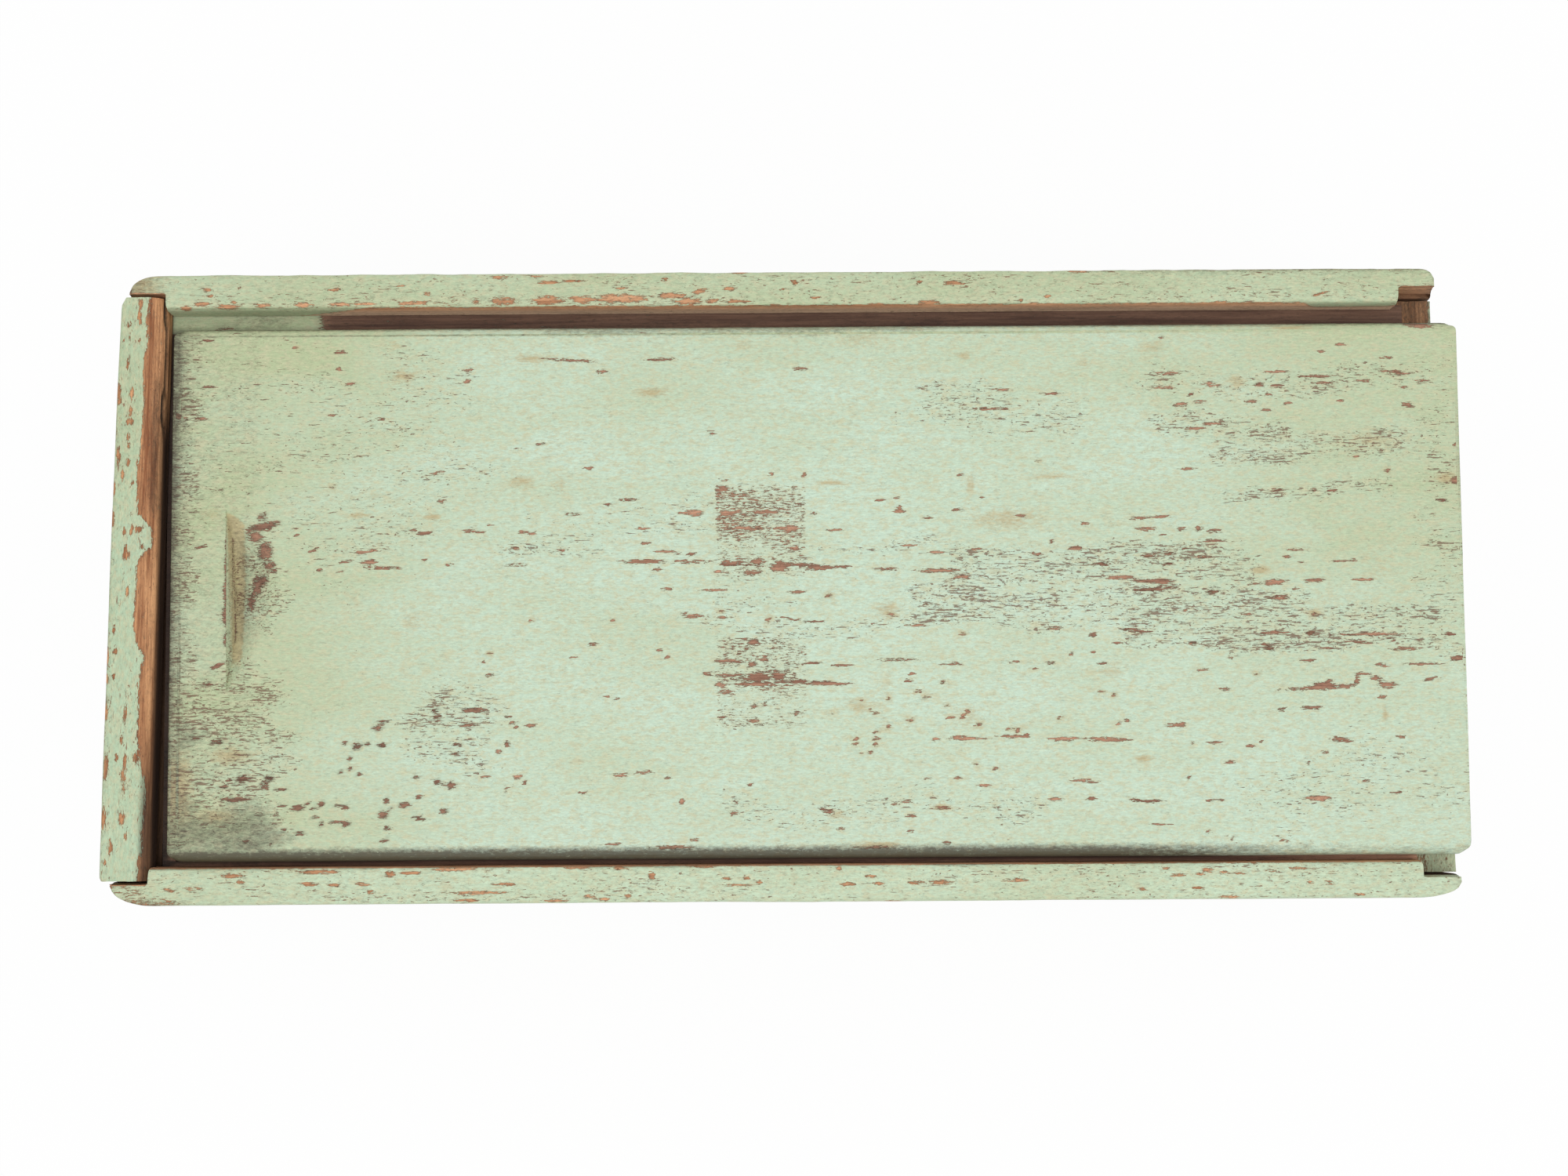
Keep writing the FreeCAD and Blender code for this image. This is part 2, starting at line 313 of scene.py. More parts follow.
def marks(along, across, places):
    """How bare single marks leave each point: 1.1 in a mark's middle, 0.4 at its rim, 0 further out.

    Each mark is its middle, half its length and half its width, and how much its far end rises.
    """
    worn = np.zeros(len(along))
    for x, y, length, width, *rise in places:
        run = (along - x) / max(length, 0.8)
        lift = rise[0] * run if rise else 0
        worn = np.maximum(worn, 1.12 - 0.72 * np.hypot(run, (across - y - lift) / max(width, 0.4)))
    return worn


def areas(x, y, places):
    """The most that the areas over each point give: left, right, front, rear, soft border and amount.

    Borders softer than half a millimetre wander, by about as much as they are soft.
    """
    amount = np.zeros(len(x))
    wander_x = np.sin(y / 3.1 + x / 17.0) + 0.6 * np.sin(y / 1.3 + 2.0)
    wander_y = np.sin(x / 9.0 + 1.0) + 0.6 * np.sin(x / 3.7 + y / 5.0)
    for left, right, front, rear, soft, share in places:
        swing = 0.6 * soft if soft > 0.5 else 0.0
        inside = between(x + swing * wander_x, left, right, soft)
        inside *= between(y + swing * wander_y, front, rear, soft)
        amount = np.maximum(amount, share * inside)
    return amount


# Flakes on the top of the rear side board, down to bare wood
REAR_FLAKES = (
    (-148.5, 69.0, 1.3, 0.5), (-144.0, 70.1, 2.1, 0.6), (-138.0, 69.4, 3.1, 0.5), (-136.5, 70.4, 0.9, 0.4),
    (-143.3, 73.6, 1.3, 0.5), (-142.3, 72.0, 0.5, 0.5), (-129.2, 69.6, 1.9, 0.5), (-119.2, 69.7, 2.7, 0.6),
    (-110.0, 69.8, 3.4, 0.45), (-103.5, 69.9, 3.4, 0.4), (-93.5, 70.0, 2.3, 0.4), (-90.0, 70.0, 1.8, 0.5),
    (-111.5, 73.5, 1.6, 0.5), (-88.4, 72.3, 0.7, 0.6), (-95.0, 74.3, 1.2, 0.3), (-76.2, 70.3, 1.4, 0.5),
    (-69.3, 70.3, 4.3, 1.1), (-58.8, 70.4, 4.5, 1.2), (-49.6, 70.6, 3.4, 1.1), (-39.8, 70.8, 6.5, 1.3),
    (-27.8, 71.5, 3.8, 0.8), (-23.6, 70.0, 3.5, 0.8), (-20.6, 72.6, 2.2, 0.7, 0.6), (-17.2, 70.1, 1.8, 0.5),
    (-13.0, 73.2, 1.9, 0.6), (-10.8, 70.0, 4.2, 0.45), (-70.4, 76.5, 3.1, 0.4), (-61.5, 76.6, 2.0, 0.4),
    (-58.2, 75.0, 3.0, 0.4), (-52.2, 75.3, 2.8, 0.4), (-40.2, 73.5, 1.5, 0.35), (-29.4, 75.6, 0.7, 0.5),
    (-10.8, 77.4, 2.3, 0.5), (23.0, 68.8, 2.3, 0.5), (36.4, 69.3, 2.8, 0.7), (43.0, 74.3, 2.5, 0.6),
    (34.2, 74.7, 0.9, 0.35), (0.0, 73.0, 1.2, 0.45), (3.0, 74.6, 1.0, 0.9), (59.3, 69.8, 0.9, 0.4),
    (63.0, 69.0, 1.2, 0.4), (74.0, 77.0, 3.2, 0.4), (109.2, 68.9, 2.6, 0.45), (119.0, 68.6, 4.6, 0.45),
    (134.0, 71.0, 2.4, 0.4, 0.6), (66.0, 70.8, 0.8, 0.35), (-2.0, 68.9, 1.6, 0.35), (8.0, 70.8, 1.6, 0.35),
)
# and of the front one
FRONT_FLAKES = (
    (-133.2, -70.6, 3.3, 0.6), (-112.8, -69.8, 5.6, 0.6), (-95.2, -70.5, 1.4, 0.8), (-90.0, -70.2, 3.0, 0.4),
    (-148.0, -74.0, 1.8, 0.5), (-142.2, -73.7, 2.8, 0.45), (-131.0, -72.2, 1.1, 0.35),
    (-114.5, -72.7, 2.6, 0.4), (-108.5, -73.0, 1.7, 0.3), (-101.5, -72.9, 2.1, 0.35),
    (-99.8, -74.7, 0.8, 0.7), (-79.5, -69.5, 6.6, 0.5), (-50.2, -69.2, 3.3, 0.4), (-40.2, -69.3, 1.9, 0.6),
    (-19.5, -69.0, 3.6, 0.45), (-67.6, -73.0, 3.1, 0.55), (-73.5, -75.0, 8.2, 0.35),
    (-76.5, -76.8, 3.6, 0.4), (-55.2, -77.0, 3.9, 0.35), (-47.2, -76.0, 1.6, 0.5), (-43.6, -76.8, 1.5, 0.5),
    (-38.0, -75.9, 0.9, 0.35), (-32.2, -71.2, 0.5, 1.3), (-14.1, -72.0, 1.7, 0.35), (-9.4, -72.0, 0.9, 0.3),
    (-11.5, -73.6, 3.6, 0.3), (-6.5, -73.0, 0.9, 0.6), (12.8, -69.8, 0.9, 0.4), (15.0, -73.5, 2.1, 0.5),
    (22.3, -73.4, 1.7, 0.3), (20.5, -71.6, 1.5, 0.3), (31.4, -73.2, 2.0, 0.45), (37.0, -73.2, 3.1, 0.65),
    (55.2, -72.8, 3.6, 0.35), (55.5, -72.8, 1.0, 0.5), (26.0, -77.7, 2.5, 0.4), (91.4, -70.1, 1.2, 0.45),
    (101.5, -70.7, 1.7, 0.6), (105.2, -71.3, 1.3, 0.55), (108.7, -71.5, 2.4, 0.35), (94.4, -71.8, 2.1, 0.3),
    (99.5, -71.6, 1.5, 0.35), (116.8, -70.9, 1.8, 0.3), (123.2, -70.4, 2.8, 0.4), (130.6, -73.8, 1.2, 0.65),
    (126.0, -73.7, 1.0, 0.3), (99.1, -75.0, 1.6, 0.35), (85.8, -75.1, 1.8, 0.35), (106.6, -77.1, 2.7, 0.35),
    (112.9, -69.0, 0.9, 0.5), (137.8, -76.7, 1.8, 0.4),
)
# Where the rear side board's top is flaked all over: left, right, front, rear, soft border and amount
REAR_FLAKED_AREAS = (
    (-98.0, -8.0, 68.0, 71.5, 1.2, 0.27), (-75.0, -36.0, 75.5, 77.5, 0.8, 0.22),
    (-150.0, -98.0, 68.6, 70.2, 0.6, 0.22),
)
# Flakes on the top of the tall end board: place across the box, place along it, half sizes alike
END_FLAKES = (
    (70.0, -159.6, 1.6, 0.6), (67.0, -159.8, 1.6, 0.7), (65.0, -162.4, 1.0, 1.0), (65.3, -159.4, 0.7, 0.6),
    (61.5, -162.0, 1.8, 0.35), (60.8, -159.6, 1.1, 0.55), (61.0, -163.5, 0.9, 0.35),
    (55.0, -162.3, 1.6, 0.3), (48.3, -164.3, 2.6, 0.6), (45.5, -164.1, 1.1, 0.75), (47.5, -161.1, 1.8, 0.6),
    (43.0, -161.2, 1.4, 0.5), (40.5, -161.3, 1.0, 1.0), (36.5, -161.6, 1.4, 0.45), (34.5, -161.4, 1.0, 0.6),
    (32.0, -163.9, 2.5, 0.6), (30.3, -161.4, 1.3, 0.5), (30.2, -159.1, 1.2, 0.4), (27.0, -162.6, 1.8, 0.5),
    (25.2, -160.2, 0.6, 0.5), (23.3, -164.6, 2.1, 0.4), (16.5, -164.8, 2.1, 0.5), (13.2, -161.7, 1.1, 0.5),
    (13.4, -160.0, 1.4, 0.6), (7.2, -161.1, 1.2, 1.0), (8.0, -161.3, 2.1, 0.45), (-1.7, -160.4, 1.5, 0.3),
    (-11.0, -163.5, 1.2, 0.4), (-18.0, -165.0, 3.0, 0.5), (-16.5, -162.9, 0.8, 0.65),
    (-23.0, -165.0, 1.6, 0.7), (-22.5, -163.2, 0.8, 0.5), (-31.0, -164.8, 2.4, 0.6),
    (-31.8, -160.0, 2.8, 0.6), (-38.0, -160.7, 1.3, 0.45), (-45.0, -164.3, 3.5, 0.75),
    (-42.2, -161.8, 1.0, 0.55), (-43.0, -159.8, 2.0, 0.45), (-46.5, -160.1, 2.0, 0.8),
    (-49.8, -159.8, 1.5, 0.4), (-57.0, -164.5, 3.0, 0.8), (-56.8, -160.0, 1.8, 0.8),
    (-63.7, -162.7, 2.1, 0.7), (-61.0, -159.0, 1.1, 0.5), (-67.3, -163.9, 0.8, 0.35),
    (-42.0, -157.3, 1.6, 0.7), (13.5, -158.3, 0.9, 1.2), (9.2, -157.3, 0.5, 0.6),
)
# Long streaks and larger flakes on the lid
LID_FLAKES = (
    # tall end, rear half
    (-143.0, 61.0, 1.6, 0.45), (-109.8, 57.8, 2.1, 0.5), (-110.2, 53.6, 1.0, 0.8), (-78.2, 53.0, 1.5, 0.65),
    (-78.3, 50.3, 1.1, 0.65), (-142.0, 49.3, 2.0, 0.35), (-107.2, 49.8, 1.3, 0.4), (-111.8, 42.0, 1.4, 0.3),
    (-99.5, 40.9, 1.6, 0.35), (-144.0, 41.2, 2.0, 0.4, -0.3), (-149.8, 42.0, 1.6, 0.7, -0.6),
    (-84.4, 27.5, 1.0, 0.65), (-86.4, 27.0, 0.9, 0.35), (-84.2, 20.2, 1.7, 0.35),
    (-115.5, 8.2, 1.5, 0.35, 0.6), (-91.0, 13.0, 0.6, 0.7), (-88.4, 12.3, 2.8, 0.45),
    (-77.2, 12.8, 2.2, 0.45), (-103.8, 7.7, 2.0, 0.55), (-100.5, 8.2, 2.5, 0.3, 0.1),
    (-101.8, 5.2, 2.3, 0.7), (-98.0, 3.7, 6.0, 0.5), (-107.5, 5.4, 2.2, 0.3, 0.2), (-88.5, 5.6, 0.8, 0.5),
    (-82.2, 4.4, 1.0, 0.4), (-113.8, 3.3, 0.9, 0.45), (-109.0, 3.0, 0.8, 0.35),
    (-143.2, 9.2, 2.2, 0.35, 0.5), (-120.2, 13.8, 0.8, 0.3), (-119.8, 12.0, 1.0, 0.3),
    # tall end, front half
    (-138.2, -20.0, 1.9, 0.6, 0.8), (-140.8, -24.5, 1.8, 0.35), (-147.7, -29.0, 0.8, 0.6),
    (-143.5, -28.8, 0.7, 0.4), (-143.4, -30.3, 0.7, 0.35), (-137.8, -38.5, 1.8, 0.75),
    (-143.0, -37.8, 1.6, 0.35), (-132.0, -41.8, 2.2, 0.3), (-131.3, -47.4, 1.3, 1.0),
    (-129.7, -47.2, 1.0, 0.4), (-125.0, -47.4, 1.1, 0.9), (-126.0, -49.0, 1.0, 1.3),
    (-122.2, -50.2, 1.9, 0.3), (-134.5, -47.7, 1.0, 0.35), (-135.8, -49.3, 1.4, 0.35),
    (-132.5, -52.3, 5.0, 0.4), (-133.2, -52.6, 1.9, 0.65), (-121.5, -54.0, 0.6, 0.5),
    (-118.0, -54.6, 1.8, 0.75), (-115.6, -53.6, 0.7, 0.4), (-113.8, -54.8, 0.8, 0.4),
    (-112.2, -53.6, 1.1, 0.7), (-106.5, -54.5, 1.1, 0.7), (-108.2, -53.9, 1.4, 0.3),
    (-113.7, -56.9, 0.9, 0.6), (-112.1, -58.4, 0.9, 0.8), (-109.4, -58.0, 0.9, 0.6),
    (-106.3, -58.4, 1.1, 0.9), (-108.2, -58.1, 2.4, 0.3), (-121.2, -59.8, 0.7, 0.6),
    (-117.2, -60.7, 1.1, 0.7), (-130.3, -62.5, 0.9, 0.7), (-124.5, -63.3, 0.7, 0.4),
    (-99.0, -35.4, 1.5, 0.8), (-97.8, -34.0, 1.8, 0.35), (-103.9, -39.8, 0.9, 1.2),
    (-107.0, -38.9, 0.8, 0.6), (-97.8, -39.6, 1.3, 0.7), (-105.5, -42.8, 0.8, 0.6),
    (-101.5, -39.2, 1.2, 0.35), (-108.0, -46.0, 0.8, 0.5), (-105.4, -45.2, 0.7, 0.5),
    (-103.0, -46.5, 0.6, 0.35), (-85.0, -31.2, 1.0, 0.35), (-84.6, -32.6, 0.9, 0.35),
    (-84.4, -33.9, 0.9, 0.4), (-79.5, -39.5, 1.7, 0.5, -0.4), (-80.2, -41.8, 1.3, 0.35),
    (-84.2, -48.5, 1.2, 0.8, -0.6), (-80.9, -49.3, 1.2, 1.0), (-89.4, -47.3, 0.7, 0.6),
    (-88.5, -52.1, 0.9, 0.6), (-96.6, -53.0, 0.9, 0.9), (-92.1, -54.0, 1.4, 0.95), (-97.3, -56.3, 1.3, 1.15),
    (-95.8, -54.9, 0.5, 0.4), (-82.7, -55.5, 1.1, 0.8), (-88.7, -57.2, 1.6, 0.5, -0.5),
    (-96.1, -59.6, 0.6, 0.6), (-96.7, -62.5, 1.1, 0.6),
    # middle, rear half
    (-45.0, 52.6, 1.4, 0.6), (4.6, 53.0, 2.4, 0.6), (-34.5, 62.0, 2.4, 0.35), (-53.0, 55.5, 7.5, 0.25, -0.5),
    (-30.0, 55.6, 4.5, 0.3), (-17.8, 37.0, 1.4, 0.7, -0.3), (-60.0, 34.3, 1.5, 0.4), (-65.5, 33.5, 0.6, 0.4),
    (-48.0, 28.2, 1.4, 0.35), (-15.2, 22.8, 1.7, 0.65), (-14.5, 25.0, 0.7, 0.45), (-3.2, 26.5, 0.5, 0.6),
    (-21.8, 17.0, 1.9, 0.8), (-24.0, 17.2, 2.2, 0.3), (-13.5, 16.8, 3.4, 0.5), (-4.2, 17.0, 4.2, 0.6),
    (2.0, 13.0, 2.3, 0.9), (-1.0, 13.2, 2.0, 0.3), (-9.5, 13.2, 5.0, 0.35), (2.6, 7.9, 1.6, 0.75),
    (-28.5, 7.4, 4.5, 0.35, -0.4), (-22.8, 6.7, 1.3, 0.55), (-34.0, 5.0, 6.0, 0.55, -0.1),
    (-23.0, 4.9, 6.5, 0.4), (-13.0, 4.3, 3.2, 0.8), (-6.5, 4.8, 2.0, 0.8), (-1.0, 3.4, 2.2, 1.6),
    (-7.8, 2.0, 2.6, 0.9), (-16.2, 2.4, 1.2, 0.5), (-31.0, 3.0, 1.4, 0.45), (-65.5, 4.3, 4.0, 0.4),
    (-72.2, 14.4, 1.0, 0.4), (-74.2, 12.6, 1.1, 0.35), (-64.3, 12.5, 1.0, 0.6), (-61.7, 12.2, 1.0, 0.55),
    (-52.0, 16.8, 3.0, 0.25), (-34.7, 13.2, 1.8, 0.3), (-54.6, 7.8, 1.3, 0.3), (-65.8, 8.5, 0.9, 0.35),
    (-33.7, 9.5, 1.8, 0.3), (-43.2, 19.2, 1.3, 0.3), (-38.2, 20.3, 3.0, 0.25), (3.5, 4.0, 4.5, 0.5),
    # middle, front half
    (-28.5, -1.8, 1.5, 0.3), (-16.8, -2.2, 3.8, 0.25), (3.2, -2.8, 2.4, 0.25), (-22.2, -8.6, 3.0, 0.5),
    (-24.5, -7.9, 1.0, 0.35), (-15.0, -8.9, 2.5, 0.25), (1.5, -9.3, 4.0, 0.3, -0.4), (-7.5, -15.0, 1.6, 0.7),
    (-8.0, -20.5, 1.1, 0.7), (-4.7, -19.0, 0.9, 0.8), (-13.5, -19.8, 3.5, 0.35), (-13.0, -23.2, 4.0, 0.5),
    (-6.5, -23.6, 3.2, 1.3), (-1.5, -23.2, 2.2, 1.4), (-15.8, -25.3, 1.4, 0.7), (-7.0, -25.3, 5.5, 0.5),
    (3.8, -24.8, 3.0, 0.5), (-14.0, -27.2, 3.0, 0.45), (-7.5, -30.6, 1.5, 0.6), (-5.0, -30.2, 0.6, 0.6),
    (3.2, -32.5, 0.9, 0.6, -0.5), (-15.0, -33.4, 1.1, 0.4), (-7.4, -34.2, 1.4, 0.6),
    (-46.7, -15.3, 1.3, 0.5), (-30.7, -16.9, 1.3, 0.4, 0.3), (-28.6, -18.5, 0.9, 0.35),
    (-51.5, -18.5, 1.1, 0.3), (-43.3, -28.2, 0.9, 0.25), (-41.2, -28.6, 0.9, 0.3), (-18.5, -22.7, 1.6, 0.2),
    (-73.4, -19.4, 0.7, 0.5), (-71.8, -22.7, 1.3, 0.35), (-75.6, -31.2, 3.6, 0.6), (-67.2, -32.9, 0.8, 0.6),
    (-66.2, -34.3, 1.1, 0.35), (-61.7, -35.0, 1.6, 0.5), (-65.3, -35.4, 0.6, 0.45),
    (-67.4, -39.4, 0.9, 0.95), (-69.5, -41.3, 0.8, 0.6), (-72.6, -47.3, 0.9, 0.45), (-64.9, -47.4, 1.2, 0.6),
    (-63.0, -48.7, 0.7, 0.5), (-67.3, -50.3, 0.6, 0.4), (-48.9, -51.3, 1.1, 0.3), (-39.8, -47.1, 2.5, 0.4),
    (-34.0, -46.5, 2.9, 0.25), (-28.4, -47.8, 1.1, 0.4), (-12.2, -53.8, 0.7, 0.6), (-12.3, -56.3, 0.7, 0.7),
    (-25.0, -53.6, 0.4, 0.8), (-27.0, -64.6, 5.5, 0.6), (-22.2, -62.8, 1.6, 0.3), (-41.6, -63.8, 2.0, 0.25),
    (-8.5, -49.7, 0.7, 0.35), (-77.0, -34.9, 2.4, 0.35),
    # between the middle and the low end, rear half
    (43.8, 26.0, 0.7, 0.4), (23.9, 19.8, 1.3, 0.35), (28.0, 20.3, 0.6, 0.4), (28.4, 17.0, 1.6, 0.55),
    (28.4, 17.9, 0.4, 0.8), (42.9, 17.3, 2.0, 0.4), (49.0, 20.4, 1.0, 0.3), (7.6, 16.7, 1.1, 0.3),
    (35.5, 15.5, 1.5, 0.3), (58.5, 15.8, 1.5, 0.35), (74.2, 13.8, 0.7, 0.9), (12.7, 12.5, 2.3, 0.3),
    (65.7, 9.4, 0.8, 0.5), (31.0, 8.7, 2.2, 0.35), (47.0, 7.6, 2.2, 0.4), (37.5, 6.8, 2.6, 0.3),
    (71.8, 7.6, 1.8, 0.5), (62.2, 6.2, 2.2, 0.45, -0.5), (8.5, 3.2, 3.8, 0.85), (14.0, 3.3, 3.5, 0.35),
    (25.2, 2.8, 4.0, 0.5), (38.3, 2.3, 7.3, 0.65), (43.2, 0.6, 3.2, 0.75), (82.5, 0.3, 3.6, 0.5),
    (77.8, 3.7, 2.4, 0.25), (54.0, 47.3, 3.0, 0.25), (66.5, 46.2, 3.2, 0.3), (51.0, 42.6, 6.5, 0.25),
    # between the middle and the low end, front half
    (34.7, -6.0, 0.8, 0.5), (7.5, -10.0, 3.8, 0.3), (21.7, -10.8, 1.3, 0.35, 0.3), (32.5, -11.1, 3.6, 0.25),
    (6.5, -20.2, 2.6, 0.3), (14.2, -20.8, 3.1, 0.4), (27.4, -19.5, 7.0, 0.4), (41.0, -20.6, 3.3, 0.35),
    (56.2, -20.2, 1.8, 0.3), (64.6, -20.5, 2.0, 0.35), (61.5, -21.8, 1.1, 0.4), (77.8, -20.7, 1.8, 0.35),
    (75.4, -13.8, 1.1, 0.6), (65.8, -12.0, 2.3, 0.4), (84.0, -12.4, 2.2, 0.35), (81.4, -15.8, 1.1, 0.35),
    (69.8, -18.4, 0.5, 0.35), (75.3, -17.9, 0.8, 0.35), (31.0, -23.0, 1.0, 0.3), (30.1, -24.6, 1.0, 0.5),
    (10.5, -25.2, 6.5, 0.5, -0.2), (36.6, -39.0, 1.1, 0.3), (44.6, -38.8, 4.7, 0.4),
    (42.2, -38.6, 1.9, 0.55), (55.5, -38.4, 4.0, 0.4), (58.8, -38.2, 0.8, 0.55), (67.6, -39.0, 3.5, 0.45),
    (78.5, -39.2, 5.6, 0.45, -0.2), (83.2, -34.7, 1.0, 0.4), (81.2, -35.3, 0.8, 0.3),
    (42.0, -48.3, 1.3, 0.3), (48.2, -50.2, 2.3, 0.3, -0.2), (34.5, -48.4, 1.1, 0.25),
    (72.5, -49.2, 4.3, 0.25, -0.6), (65.2, -53.6, 2.3, 0.4), (74.2, -53.4, 1.3, 0.4),
    (84.5, -53.8, 1.6, 0.45), (10.2, -56.0, 2.2, 0.75, -0.6), (26.5, -54.5, 1.1, 0.4),
    (29.5, -53.8, 1.7, 0.3), (30.5, -57.3, 1.5, 0.6), (37.8, -55.5, 2.8, 0.3), (13.2, -60.4, 1.2, 0.45),
    (30.3, -61.0, 0.8, 0.6), (39.0, -63.9, 1.3, 0.55), (22.0, -64.9, 6.0, 0.45),
    # low end, rear half
    (159.0, 63.1, 4.6, 0.8, -0.5), (138.8, 58.3, 1.9, 0.5), (134.0, 56.6, 1.6, 0.4), (94.2, 60.3, 0.9, 0.4),
    (150.3, 55.0, 2.7, 0.35), (95.7, 51.2, 3.6, 0.25), (123.0, 51.5, 4.0, 0.3),
    (152.5, 51.2, 4.2, 0.3, -0.4), (132.5, 50.3, 6.5, 0.35), (134.0, 48.7, 4.0, 0.45),
    (143.7, 49.0, 3.2, 0.35), (94.2, 47.7, 4.3, 0.45), (96.0, 48.9, 0.8, 0.35),
    (106.2, 48.3, 2.8, 0.55, -0.5), (118.3, 48.3, 1.7, 0.55), (122.6, 47.8, 1.9, 0.6),
    (101.2, 45.8, 0.9, 0.45), (120.5, 45.8, 0.8, 0.6), (98.3, 43.3, 2.1, 0.65), (116.0, 43.9, 2.1, 0.35),
    (103.5, 43.9, 1.9, 0.25), (119.8, 41.8, 1.6, 0.3), (125.1, 43.6, 1.2, 0.3), (138.0, 44.0, 1.2, 0.25),
    (154.7, 43.0, 1.6, 0.65, -0.5), (154.2, 47.3, 1.4, 0.4), (158.5, 49.0, 2.1, 0.3),
    (102.0, 37.3, 3.5, 0.25), (106.0, 38.5, 2.6, 0.35), (161.0, 33.6, 1.1, 0.35), (166.3, 33.0, 0.9, 0.7),
    (99.6, 27.2, 2.2, 0.3), (121.6, 21.8, 1.8, 0.35), (131.0, 21.8, 1.2, 0.4), (135.2, 21.5, 1.3, 0.35),
    (165.8, 24.0, 1.4, 1.0), (162.3, 19.0, 1.7, 0.45), (87.2, 15.0, 2.3, 0.3), (92.8, 15.3, 2.8, 0.3),
    (89.3, 12.3, 3.0, 0.5), (97.6, 12.2, 1.7, 0.6), (102.0, 12.3, 1.0, 0.8), (105.5, 11.7, 2.5, 0.3),
    (93.2, 10.8, 0.8, 0.35), (105.5, 9.3, 4.7, 0.35), (94.7, 6.2, 2.8, 0.5), (98.5, 7.3, 1.0, 0.35),
    (89.8, 5.6, 2.3, 0.35), (102.2, 5.3, 5.2, 0.35), (94.5, 3.6, 2.0, 0.4), (101.3, 2.6, 0.8, 0.4),
    (126.2, 7.0, 2.8, 0.35), (123.5, 5.2, 1.5, 0.5), (127.0, 3.9, 1.0, 0.35), (136.5, 4.1, 3.6, 0.3),
    (139.8, 4.2, 1.0, 0.5),
    # low end, front half
    (90.5, -0.6, 5.6, 0.45), (93.0, -0.8, 2.2, 0.75), (90.7, -2.6, 5.7, 0.25, 0.3), (115.0, -1.4, 1.6, 0.35),
    (120.5, -1.0, 3.6, 0.6), (119.0, -1.5, 1.8, 0.5), (125.5, -2.6, 1.0, 0.35), (130.2, -0.7, 2.8, 0.45),
    (142.0, -0.6, 3.1, 0.3), (121.3, -4.8, 2.8, 0.6), (121.8, -4.9, 1.5, 0.85), (105.0, -3.4, 1.6, 0.35),
    (98.0, -7.8, 1.0, 0.4), (113.5, -8.8, 2.1, 0.35), (87.0, -13.0, 3.1, 0.45), (119.5, -13.4, 3.6, 0.4),
    (128.5, -13.6, 1.6, 0.45), (144.0, -14.0, 11.0, 0.35), (143.8, -13.9, 2.7, 0.7),
    (162.5, -14.1, 2.1, 0.5), (148.7, -15.6, 2.4, 0.35, -1.1), (151.5, -17.6, 4.5, 0.3),
    (140.5, -15.9, 4.5, 0.35, -0.3), (100.0, -16.0, 1.6, 0.4), (117.5, -16.2, 1.1, 0.35),
    (118.2, -17.2, 1.4, 0.5), (132.2, -17.4, 1.9, 0.3), (108.8, -19.5, 0.5, 0.6), (128.0, -20.4, 2.4, 0.25),
    (145.8, -21.6, 2.4, 0.45, -0.6), (155.5, -21.3, 4.6, 0.4), (164.2, -20.0, 1.8, 0.7),
    (102.0, -22.5, 1.6, 0.3), (129.0, -27.1, 9.0, 0.4, 0.3), (131.5, -26.5, 3.2, 1.1),
    (132.8, -25.6, 1.1, 1.0), (136.5, -26.6, 2.4, 0.7), (140.8, -23.5, 2.5, 0.35), (139.6, -25.2, 0.45, 1.4),
    (144.2, -24.8, 2.0, 0.8, -0.6), (146.8, -26.4, 2.4, 0.9), (107.1, -27.2, 1.8, 0.45),
    (157.6, -25.0, 2.6, 0.55, 0.5), (145.5, -29.3, 1.1, 0.55), (128.2, -31.8, 2.8, 0.2),
    (120.8, -32.2, 1.0, 0.45), (94.8, -35.8, 2.4, 0.3), (96.5, -35.7, 1.0, 0.7),
    (135.2, -39.6, 3.3, 0.65, -0.5), (149.5, -39.0, 1.4, 0.45), (104.6, -40.1, 2.1, 0.45),
    (98.6, -40.2, 0.6, 0.3), (115.5, -40.0, 0.6, 0.3), (113.0, -41.0, 1.5, 0.3), (130.8, -42.6, 1.4, 0.4),
    (108.0, -44.9, 1.5, 0.25), (97.8, -48.6, 0.9, 0.35), (147.9, -52.5, 1.9, 0.4), (129.0, -53.6, 4.6, 0.5),
    (129.0, -53.8, 2.6, 0.75), (88.0, -54.2, 4.0, 0.35), (105.2, -54.0, 1.1, 0.5), (102.5, -54.0, 1.2, 0.3),
    (90.8, -59.8, 3.2, 0.3), (102.5, -61.6, 0.8, 0.3), (107.5, -63.2, 1.6, 0.25, -1.2),
    (120.5, -63.8, 1.7, 0.3, -0.5), (140.8, -49.6, 1.3, 0.25), (126.8, -45.3, 0.7, 0.25),
)
# The notch: patches rubbed bare on its slope, in its crease and along its rim
NOTCH_FLAKES = (
    (-127.8, 14.3, 4.4, 1.1, 0.9), (-128.2, 16.4, 0.8, 1.7), (-129.8, 11.6, 2.1, 1.3),
    (-127.5, 8.0, 2.2, 2.8), (-126.4, 4.8, 1.8, 1.1), (-125.0, 3.2, 0.8, 0.6), (-129.5, -0.5, 1.3, 3.0),
    (-131.0, -4.5, 1.2, 2.6), (-135.4, -12.0, 0.9, 2.8), (-136.5, 6.4, 0.7, 1.8), (-127.8, 1.0, 1.1, 1.4),
    (-136.5, 9.7, 0.8, 2.2), (-136.6, 4.5, 0.8, 3.4), (-136.7, -1.5, 0.8, 3.4), (-136.6, -7.5, 0.8, 3.0),
    (-136.4, -13.5, 0.8, 2.0),
)
